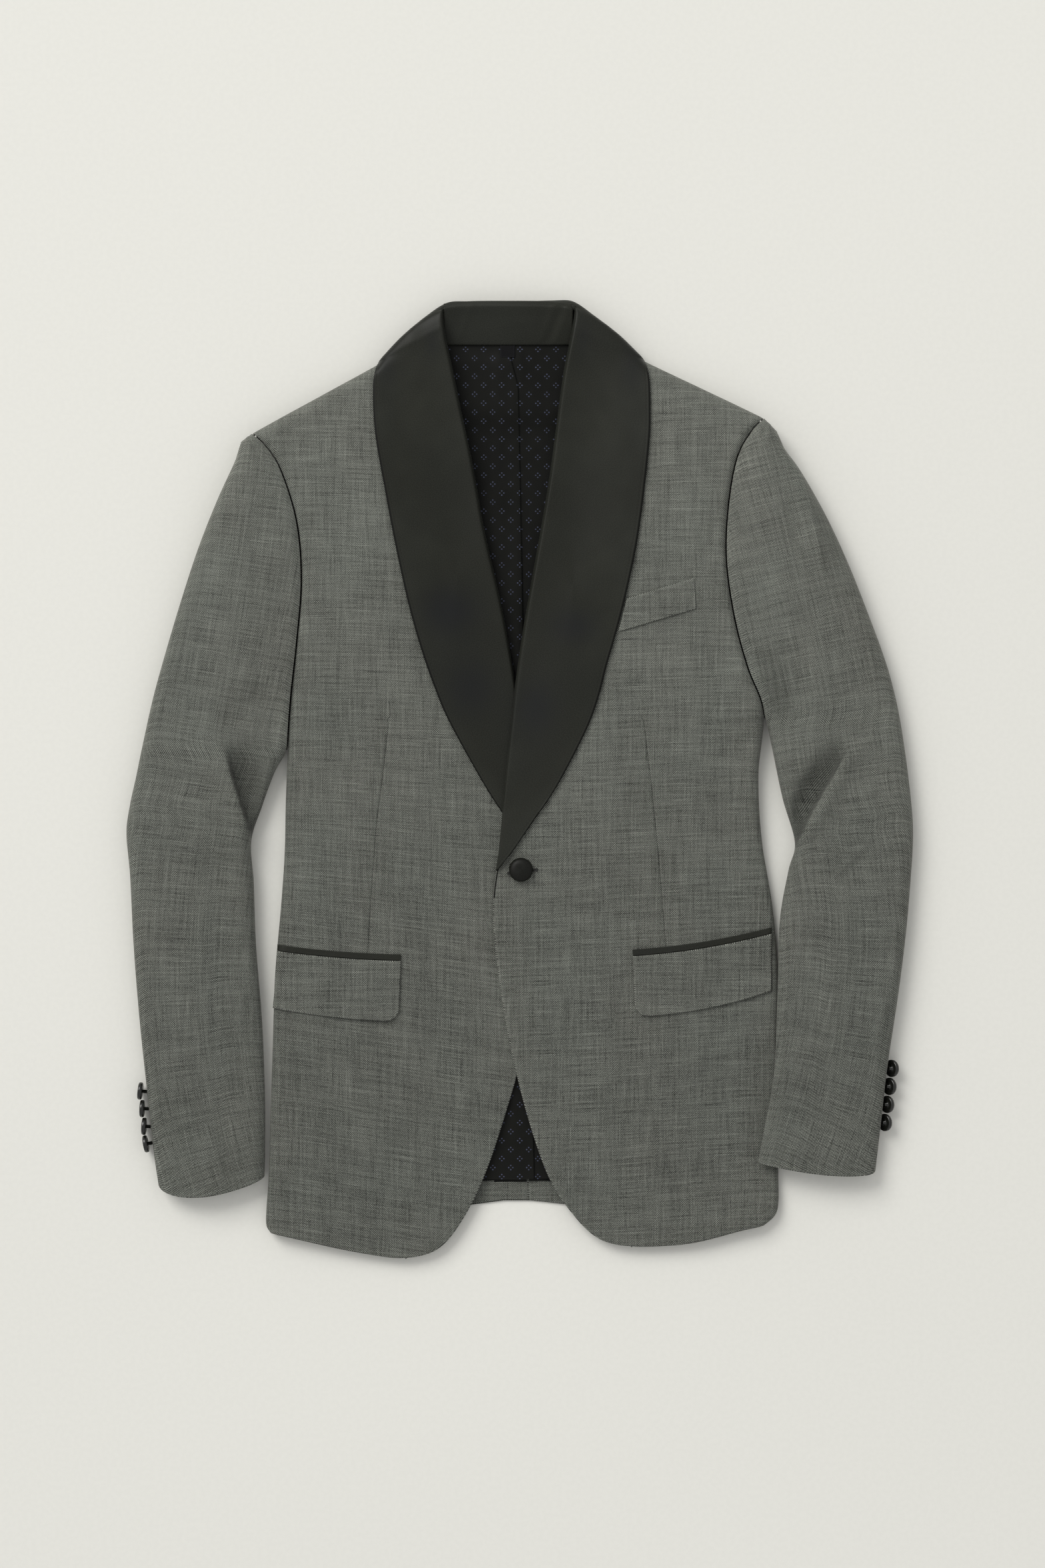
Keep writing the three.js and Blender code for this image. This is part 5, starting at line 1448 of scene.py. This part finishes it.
def collar_shell(side):
    out, last = SIDES[side]["out"], SIDES[side]["last_row"]
    t = np.linspace(0, 1, 36)
    rows = [*np.linspace(last, last - 0.4, 4, endpoint=False), *np.linspace(last - 0.4, 2, 15), 1.5, 1]
    sections = [lapel_section(side, row, t) for row in rows]
    sections += [shoulder_section(side, share, t) for share in SHOULDER_SHARES]
    sections += [neck_section(side, row, t) for row in NECK_ROWS]
    at = through(sections, COLLAR_STEPS)
    # Passing over the shoulder the cloth is pulled smooth.
    past = np.arange(len(at))[:, None, None] - len(rows) * COLLAR_STEPS
    pulled = ease(past, -24, -4) * (1 - ease(past, 46, 66))
    smooth = at.copy()
    for _ in range(40):
        smooth[1:-1] = (smooth[:-2] + 2 * smooth[1:-1] + smooth[2:]) / 4
    at = mix(at, smooth, pulled)
    # Behind the neck each half ends just short of the other.
    at[-COLLAR_STEPS:, :, 0] -= out * np.linspace(0, 1.0, COLLAR_STEPS)[:, None]
    inward = grid_normals(at) * out
    across, down = arc(at, 1), arc(at, 0)
    run = across[:, -1:] - across
    edge = np.minimum.reduce([run, down + 0 * across, down[-1:] - down])
    swell = 0.10 * cloth_swell(at[..., 0], at[..., 1], 1, 5 if side == "right" else 6)
    relief = swell * ease(edge, 1, 10) * ease(across, 4, 12) * ease(at[..., 2], 6, 9)
    uv = np.stack([run, down[:, 20:21] + 0 * across], axis=-1)
    # Painted shade of the satin, darker where it turns away from the light.
    dim = sum(
        deep * np.exp(-(((at[..., 0] - x) / wide) ** 2) - ((at[..., 1] - y) / tall) ** 2)
        for x, y, wide, tall, deep in SATIN_DIMS[side]
    )
    values = {"edge_run": run, "along": down[:, -1:] + 0 * across, "dim": dim}
    return cloth_piece(
        f"collar_{side}", "satin_black", at - inward * relief[..., None],
        inward, COLLAR_CLOTH, uv, ["satin_lapel"], values,
    )


# Where the puckers of the stand run, and their rise.
STAND_PUCKERS = ((22, 0.5), (29, -0.5), (35, 0.4), (-48, 0.3))


def stand_shell():
    u, v = np.meshgrid(np.linspace(0, 1, 30), np.linspace(0, 1, 60), indexing="ij")

    def face(u, v):
        left, right = -65.0 + 0.4 * u, 45.4 - 0.4 * u
        top_y = 407.4 - 2.5 * (2 * v - 1) ** 4
        height = np.interp(u, (0, 0.66, 0.86, 1), (8.8, 16.6, 19.6, 17.2))
        return points(mix(left, right, v), mix(370.5, top_y, u), height)

    at, normal = frames(face, u, v)
    # Short slanting puckers where the stand turns over at the wearer's left of the neck.
    slant = at[..., 0] - (at[..., 1] - 385) * 0.4
    pucker = sum(rise * np.exp(-(((slant - x) / 2.6) ** 2)) for x, rise in STAND_PUCKERS)
    relief = pucker * ease(border_distance(at), 0, 6)
    return cloth_piece(
        "collar_stand", "satin_black",
        at - normal * relief[..., None], normal, STAND_CLOTH, at[..., :2], ["satin"], {},
    )


def patch_shell(name):
    patch = PATCHES[name]
    thick, side = patch["thick"], patch["on"]
    is_flap = patch["round"] > 0
    (x0, y0, x1, y1), (x2, y2, x3, y3) = patch["top"], patch["low"]
    height, width = np.hypot(x2 - x0, y2 - y0), np.hypot(x1 - x0, y1 - y0)
    rows = fine((0, 0.78, 14), (0.78, 1, 14)) if is_flap else np.linspace(0, 1, 9)
    v, t = np.meshgrid(rows, fine((0, 1, 56)), indexing="ij")
    into = np.maximum(0, v * height - (height - patch["round"]))
    start = (patch["round"] - np.sqrt(np.maximum(0, patch["round"] ** 2 - into**2))) / width
    u = mix(start, 1, t)
    bow = 4 * u * (1 - u) * mix(*patch["sag"], v)
    x = mix(mix(x0, x1, u), mix(x2, x3, u), v)
    y = mix(mix(y0, y1, u), mix(y2, y3, u), v) - bow
    under, normal = on_front(side, x, y)
    relief = front_relief(side, x, y) * ease(FLAP_TURN_OUT - SIDES[side]["out"] * under[..., 0], 0, 16)
    if is_flap:
        # The flap's free edge stands off a little, unevenly.
        relief = relief + ease(v, 0.55, 1) * (0.35 + 0.3 * np.sin(u * 7 + (2 if side == "left" else 0)))
    at = under + normal * (LAY + thick + np.maximum(relief, -0.4))[..., None]
    is_wool = not name.startswith("pocket_jet")
    return cloth_piece(
        name, "wool_grey" if is_wool else "satin_black", at, -normal, thick,
        np.stack([x, y], axis=-1), ["wool" if is_wool else "satin"], {"edge": border_distance(at)},
    )


def lathe(name, profile, segments, look):
    """A turned piece from a profile of radius and height that starts and ends on the axis."""
    profile = np.asarray(profile, float)
    angle = np.linspace(0, 2 * np.pi, segments + 1)
    ring = np.stack([np.cos(angle), np.sin(angle)], axis=-1)
    count = segments + 1
    heights = np.broadcast_to(profile[:, None, 1:], (len(profile), count, 1))
    at = np.concatenate([profile[:, None, :1] * ring[None], heights], axis=-1).reshape(-1, 3)
    i, j = np.meshgrid(np.arange(len(profile) - 1), np.arange(segments), indexing="ij")
    corner = (i * count + j).ravel()
    faces = np.stack([corner, corner + 1, corner + count + 1, corner + count], axis=1)
    # Its covering is taken from a place on the cloth's map away from the middle.
    made = make_object(name, at, faces, at[:, :2] + 40, {}, [look])
    work = bmesh.new()
    work.from_mesh(made.data)
    bmesh.ops.remove_doubles(work, verts=work.verts, dist=1e-6)
    bmesh.ops.dissolve_degenerate(work, edges=work.edges, dist=1e-7)
    bmesh.ops.recalc_face_normals(work, faces=work.faces)
    work.to_mesh(made.data)
    work.free()
    return made


def tube(name, path, radius, look, closed=False, sides=10):
    """A thread or cord of even thickness along a path."""
    path = np.asarray(path, float)
    ahead = np.roll(path, -1, axis=0) - np.roll(path, 1, axis=0)
    if not closed:
        ahead[0], ahead[-1] = path[1] - path[0], path[-1] - path[-2]
    ahead = unit(ahead)
    across = unit(np.cross(ahead, [0.0, 0.0, 1.0]))
    up = np.cross(across, ahead)
    angle = np.linspace(0, 2 * np.pi, sides, endpoint=False)[None, :, None]
    girth = np.full(len(path), float(radius))
    if not closed:
        girth[[0, -1]] *= 0.35
    around = np.cos(angle) * across[:, None] + np.sin(angle) * up[:, None]
    at = path[:, None] + girth[:, None, None] * around
    n = len(path)
    i, j = np.meshgrid(np.arange(n if closed else n - 1), np.arange(sides), indexing="ij")
    a, b = (i * sides + j).ravel(), (i * sides + (j + 1) % sides).ravel()
    c, d = (((i + 1) % n) * sides + (j + 1) % sides).ravel(), (((i + 1) % n) * sides + j).ravel()
    faces = np.stack([a, b, c, d], axis=1)
    way = np.concatenate([[0], np.cumsum(np.linalg.norm(np.diff(path, axis=0), axis=1))])
    uv = np.stack([np.repeat(way, sides), np.tile(np.arange(sides) * radius * 0.6, n)], axis=-1)
    return make_object(name, at.reshape(-1, 3), faces, uv, {}, [look])


def place(piece, matrix):
    """Moves a piece's own points, so that its object stays at the origin."""
    piece.data.transform(matrix)
    piece.data.update()


def build_front_button():
    x, y = BUTTON_AT
    seat = float(on_front("left", x, y)[0][2]) + 0.7
    radius, rise = 10.15, 6.3
    profile = even_curve([(r * radius, h * rise, 0) for r, h in COVERED_PROFILE], 60)[:, :2]
    button = lathe("front_button_covered", profile, 72, material("satin_button"))
    # The covering satin is drawn under, which leaves faint gathers round the rim.
    mesh = button.data
    at = np.empty(len(mesh.vertices) * 3, np.float32)
    mesh.vertices.foreach_get("co", at)
    at = at.reshape(-1, 3)
    r, angle = np.hypot(at[:, 0], at[:, 1]) / MM, np.arctan2(at[:, 1], at[:, 0])
    gather = 1 + 0.008 * ease(r, 7.5, 10) * (np.sin(angle * 17) + 0.5 * np.sin(angle * 29 + 1))
    at[:, :2] *= gather[:, None]
    mesh.vertices.foreach_set("co", at.ravel())
    place(button, Matrix.Translation((x * MM, y * MM, seat * MM)))
    return finish_piece(button, "satin_black", "front_button")


def build_cuff_button(name):
    x, y, z, tilt, shank = CUFF_BUTTONS[name]
    radius, rise, stem = 7.4, 3.6, 1.5
    underside = -0.5 * rise
    shaft = [(0, underside - shank), (stem, underside - shank), (stem, underside)]
    profile = shaft + [(r * radius, h * rise) for r, h in RINGED_PROFILE]
    button = lathe(f"{name}_ringed", profile, 48, material("cuff_button"))
    out = np.sign(x)
    lean = Matrix.Rotation(np.radians(CUFF_LEANS.get(name, 0)), 4, "Z")
    turn = lean @ Matrix.Rotation(out * np.radians(90 + tilt), 4, "Y")
    place(button, Matrix.Translation((x * MM, y * MM, z * MM)) @ turn)
    return finish_piece(button, "satin_black", name)


def build_label():
    u, v = np.meshgrid(np.linspace(0, 1, 14), np.linspace(0, 1, 18), indexing="ij")
    (x, y, z), (width, height, thick) = TAB_AT, TAB_SIZE
    at = points(x + (v - 0.5) * width, y + (0.5 - u) * height, z)
    downward = np.array([0.0, 0.0, -1.0])
    tab = shell("neck_label_tab", at, downward, thick, at[..., :2], [material("label")],
                {"edge": border_distance(at)})
    return finish_piece(tab, "label_black", "neck_label")


def build_facing_edge():
    """The satin facing shows as a thin dark line along the front's edge for a little way below the lapel."""
    row = np.linspace(9.30, 9.86, 40)
    at, normal = frames(lambda u, v: front_point("left", u, v), row, 0.004 + 0 * row)
    edge = tube("facing_edge", at + normal * 0.25, 0.5, material("satin_button"))
    return finish_piece(edge, "satin_black")


def build_buttonhole():
    """The worked buttonhole beneath the button: an oval of purled thread with a bar at its outer end."""
    angle = np.linspace(0, 2 * np.pi, 90, endpoint=False)
    (middle_x, middle_y), (reach, half) = BUTTONHOLE_AT, BUTTONHOLE_REACH
    x = middle_x + reach * np.cos(angle)
    y = middle_y + 0.12 * (x - middle_x) + half * np.sign(np.sin(angle)) * np.abs(np.sin(angle)) ** 0.5
    under, normal = on_front("left", x, y)
    bead = tube("buttonhole_purl", under + normal * 0.35, 0.6, material("dark_thread"), closed=True)
    finish_piece(bead, "satin_black")
    ends = np.linspace(-2.1, 2.1, 9)
    under, normal = on_front("left", 14.4 + 0 * ends, -75.1 + ends * 0.8)
    bar = tube("buttonhole_bar", under + normal * 0.4, 0.7, material("dark_thread"))
    finish_piece(bar, "satin_black")
    return bead


# ---- Settings a user would change


class TuxedoShape(bpy.types.PropertyGroup):
    fold_strength: bpy.props.FloatProperty(
        name="Crease Strength", description="How deep the soft creases and swells of the cloth are",
        default=1.0, min=0.0, max=2.0, subtype="FACTOR",
    )


class TuxedoCloth(bpy.types.PropertyGroup):
    wool_colour: bpy.props.FloatVectorProperty(
        name="Wool", description="Colour of the wool cloth", default=(0.110, 0.117, 0.103),
        min=0.0, max=1.0, subtype="COLOR",
    )
    satin_colour: bpy.props.FloatVectorProperty(
        name="Satin", description="Colour of the satin facings", default=(0.0205, 0.0212, 0.0160),
        min=0.0, max=1.0, subtype="COLOR",
    )
    lining_colour: bpy.props.FloatVectorProperty(
        name="Lining", description="Ground colour of the lining", default=(0.0066, 0.0068, 0.0058),
        min=0.0, max=1.0, subtype="COLOR",
    )
    motif_colour: bpy.props.FloatVectorProperty(
        name="Lining Dots", description="Colour of the dots woven into the lining",
        default=(0.062, 0.070, 0.114), min=0.0, max=1.0, subtype="COLOR",
    )
    motif_repeat: bpy.props.FloatProperty(
        name="Dot Repeat", description="Millimetres from one group of dots to the next in its row",
        default=15.3, min=5.0, max=60.0,
    )
    weave_pitch: bpy.props.FloatProperty(
        name="Weave Pitch", description="Millimetres from one dot of the weave to the next",
        default=0.76, min=0.3, max=4.0,
    )
    weave_contrast: bpy.props.FloatProperty(
        name="Weave Contrast", description="How far the weave's light and dark dots differ",
        default=1.7, min=0.0, max=3.0, subtype="FACTOR",
    )
    slub_strength: bpy.props.FloatProperty(
        name="Slub Strength", description="How clearly the thick light and dark threads show",
        default=0.62, min=0.0, max=2.0, subtype="FACTOR",
    )


class TuxedoStage(bpy.types.PropertyGroup):
    floor_colour: bpy.props.FloatVectorProperty(
        name="Floor", description="Colour of the pale surface", default=(0.79, 0.785, 0.74),
        min=0.0, max=1.0, subtype="COLOR",
    )
    sky_strength: bpy.props.FloatProperty(
        name="Room Light", description="Strength of the even light from all round",
        default=0.61, min=0.0, max=5.0,
    )
    key_power: bpy.props.FloatProperty(
        name="Key Light", description="Power of the soft light from the upper left",
        default=1560.0, min=0.0, max=9000.0, unit="POWER",
    )
    key_place: bpy.props.FloatVectorProperty(
        name="Key Light Place", description="Where the soft light stands",
        default=(-7.8, 9.2, 10.0), subtype="TRANSLATION",
    )
    key_size: bpy.props.FloatProperty(
        name="Key Light Size", description="Width of the soft light",
        default=8.5, min=0.05, max=15.0, unit="LENGTH",
    )
    camera_height: bpy.props.FloatProperty(
        name="Camera Height", description="How far above the jacket the camera stands",
        default=3.0, min=1.0, max=10.0, unit="LENGTH",
    )
    view_length: bpy.props.FloatProperty(
        name="View Length", description="Length of the view's long side at the surface",
        default=1.336, min=0.2, max=5.0, unit="LENGTH",
    )


# ---- One operator for each group of pieces, in the order in which they are built


class TUXEDO_OT_backs(bpy.types.Operator):
    """Lay out both halves of the back and the two side panels"""

    bl_idname = "tuxedo.backs"
    bl_label = "Back and Side Panels"
    bl_options = {"REGISTER", "UNDO"}

    def execute(self, context):
        for side in SIDES:
            back_shell(side)
            side_panel_shell(side)
        return {"FINISHED"}


class TUXEDO_OT_lining(bpy.types.Operator):
    """Lay the dotted lining over the back, with its pleat and the bare label tab"""

    bl_idname = "tuxedo.lining"
    bl_label = "Back Lining and Label"
    bl_options = {"REGISTER", "UNDO"}

    def execute(self, context):
        for side in SIDES:
            lining_shell(side)
        build_label()
        return {"FINISHED"}


class TUXEDO_OT_sleeves(bpy.types.Operator):
    """Lay both sleeves beside the body, each of an upper and an under piece"""

    bl_idname = "tuxedo.sleeves"
    bl_label = "Sleeves"
    bl_options = {"REGISTER", "UNDO"}

    def execute(self, context):
        for side in SIDES:
            sleeve_shell(side, under=True)
            sleeve_shell(side, under=False)
        return {"FINISHED"}


class TUXEDO_OT_fronts(bpy.types.Operator):
    """Close both fronts over the back, with the dart in each"""

    bl_idname = "tuxedo.fronts"
    bl_label = "Fronts"
    bl_options = {"REGISTER", "UNDO"}

    def execute(self, context):
        for side in SIDES:
            front_shell(side)
        return {"FINISHED"}


class TUXEDO_OT_collar(bpy.types.Operator):
    """Roll the satin shawl collar round the neck and over both fronts"""

    bl_idname = "tuxedo.collar"
    bl_label = "Shawl Collar"
    bl_options = {"REGISTER", "UNDO"}

    def execute(self, context):
        stand_shell()
        for side in SIDES:
            collar_shell(side)
        return {"FINISHED"}


class TUXEDO_OT_pockets(bpy.types.Operator):
    """Set the flaps and jets of the hip pockets and the welt of the breast pocket"""

    bl_idname = "tuxedo.pockets"
    bl_label = "Pockets"
    bl_options = {"REGISTER", "UNDO"}

    def execute(self, context):
        for name in PATCHES:
            patch_shell(name)
        return {"FINISHED"}


class TUXEDO_OT_buttons(bpy.types.Operator):
    """Fasten the covered front button over its buttonhole and sew on the cuff buttons"""

    bl_idname = "tuxedo.buttons"
    bl_label = "Buttons"
    bl_options = {"REGISTER", "UNDO"}

    def execute(self, context):
        build_front_button()
        build_buttonhole()
        build_facing_edge()
        for name in CUFF_BUTTONS:
            build_cuff_button(name)
        return {"FINISHED"}


class TUXEDO_OT_stage(bpy.types.Operator):
    """Set the pale surface, the soft light and the camera straight above"""

    bl_idname = "tuxedo.stage"
    bl_label = "Stage, Light and Camera"
    bl_options = {"REGISTER", "UNDO"}

    def execute(self, context):
        build_stage(context.scene)
        return {"FINISHED"}


def build_stage(scene):
    stage = scene.tuxedo_stage
    reach, drop = 4.0, 0.0004
    corners = [(x * reach, y * reach, -drop) for x, y in ((-1, -1), (1, -1), (1, 1), (-1, 1))]
    floor = bpy.data.meshes.new("laying_surface")
    floor.from_pydata(corners, [], [(0, 1, 2, 3)])
    floor.materials.append(material("floor"))
    surface = bpy.data.objects.new("laying_surface", floor)
    scene.collection.objects.link(surface)

    world = bpy.data.worlds.new("even_room_light")
    world.use_nodes = True
    back = world.node_tree.nodes["Background"]
    back.inputs["Color"].default_value = (1.0, 1.0, 0.995, 1)
    back.inputs["Strength"].default_value = stage.sky_strength
    scene.world = world

    lamp = bpy.data.lights.new("soft_key", "AREA")
    lamp.energy = stage.key_power
    lamp.size = stage.key_size
    lamp.color = (1.0, 0.99, 0.96)
    key = bpy.data.objects.new("soft_key", lamp)
    key.location = stage.key_place
    key.rotation_euler = (-key.location).to_track_quat("-Z", "Y").to_euler()
    scene.collection.objects.link(key)

    lens = bpy.data.cameras.new("straight_above")
    lens.sensor_fit = "VERTICAL"
    lens.sensor_height = 36.0
    lens.lens = lens.sensor_height * stage.camera_height / stage.view_length
    camera = bpy.data.objects.new("straight_above", lens)
    camera.location = (*VIEW_MIDDLE, stage.camera_height)
    scene.collection.objects.link(camera)
    scene.camera = camera
    scene.view_settings.view_transform = "Standard"


class TUXEDO_PT_panel(bpy.types.Panel):
    bl_idname = "TUXEDO_PT_panel"
    bl_label = "Tuxedo Jacket"
    bl_space_type = "VIEW_3D"
    bl_region_type = "UI"
    bl_category = "Tuxedo"

    def draw(self, context):
        for operator in OPERATORS:
            self.layout.operator(operator.bl_idname)
        for group in (context.scene.tuxedo_shape, context.scene.tuxedo_cloth, context.scene.tuxedo_stage):
            box = self.layout.box()
            for name in group.__annotations__:
                box.prop(group, name)


OPERATORS = (
    TUXEDO_OT_stage, TUXEDO_OT_backs, TUXEDO_OT_lining, TUXEDO_OT_sleeves, TUXEDO_OT_fronts, TUXEDO_OT_collar,
    TUXEDO_OT_pockets, TUXEDO_OT_buttons,
)
CLASSES = (TuxedoShape, TuxedoCloth, TuxedoStage, *OPERATORS, TUXEDO_PT_panel)


def register():
    for one in CLASSES:
        bpy.utils.register_class(one)
    bpy.types.Scene.tuxedo_shape = bpy.props.PointerProperty(type=TuxedoShape)
    bpy.types.Scene.tuxedo_cloth = bpy.props.PointerProperty(type=TuxedoCloth)
    bpy.types.Scene.tuxedo_stage = bpy.props.PointerProperty(type=TuxedoStage)


def unregister():
    for name in ("tuxedo_stage", "tuxedo_cloth", "tuxedo_shape"):
        delattr(bpy.types.Scene, name)
    for one in reversed(CLASSES):
        bpy.utils.unregister_class(one)


def main():
    register()
    for operator in OPERATORS:
        group, name = operator.bl_idname.split(".")
        getattr(getattr(bpy.ops, group), name)()


if __name__ == "__main__":
    main()
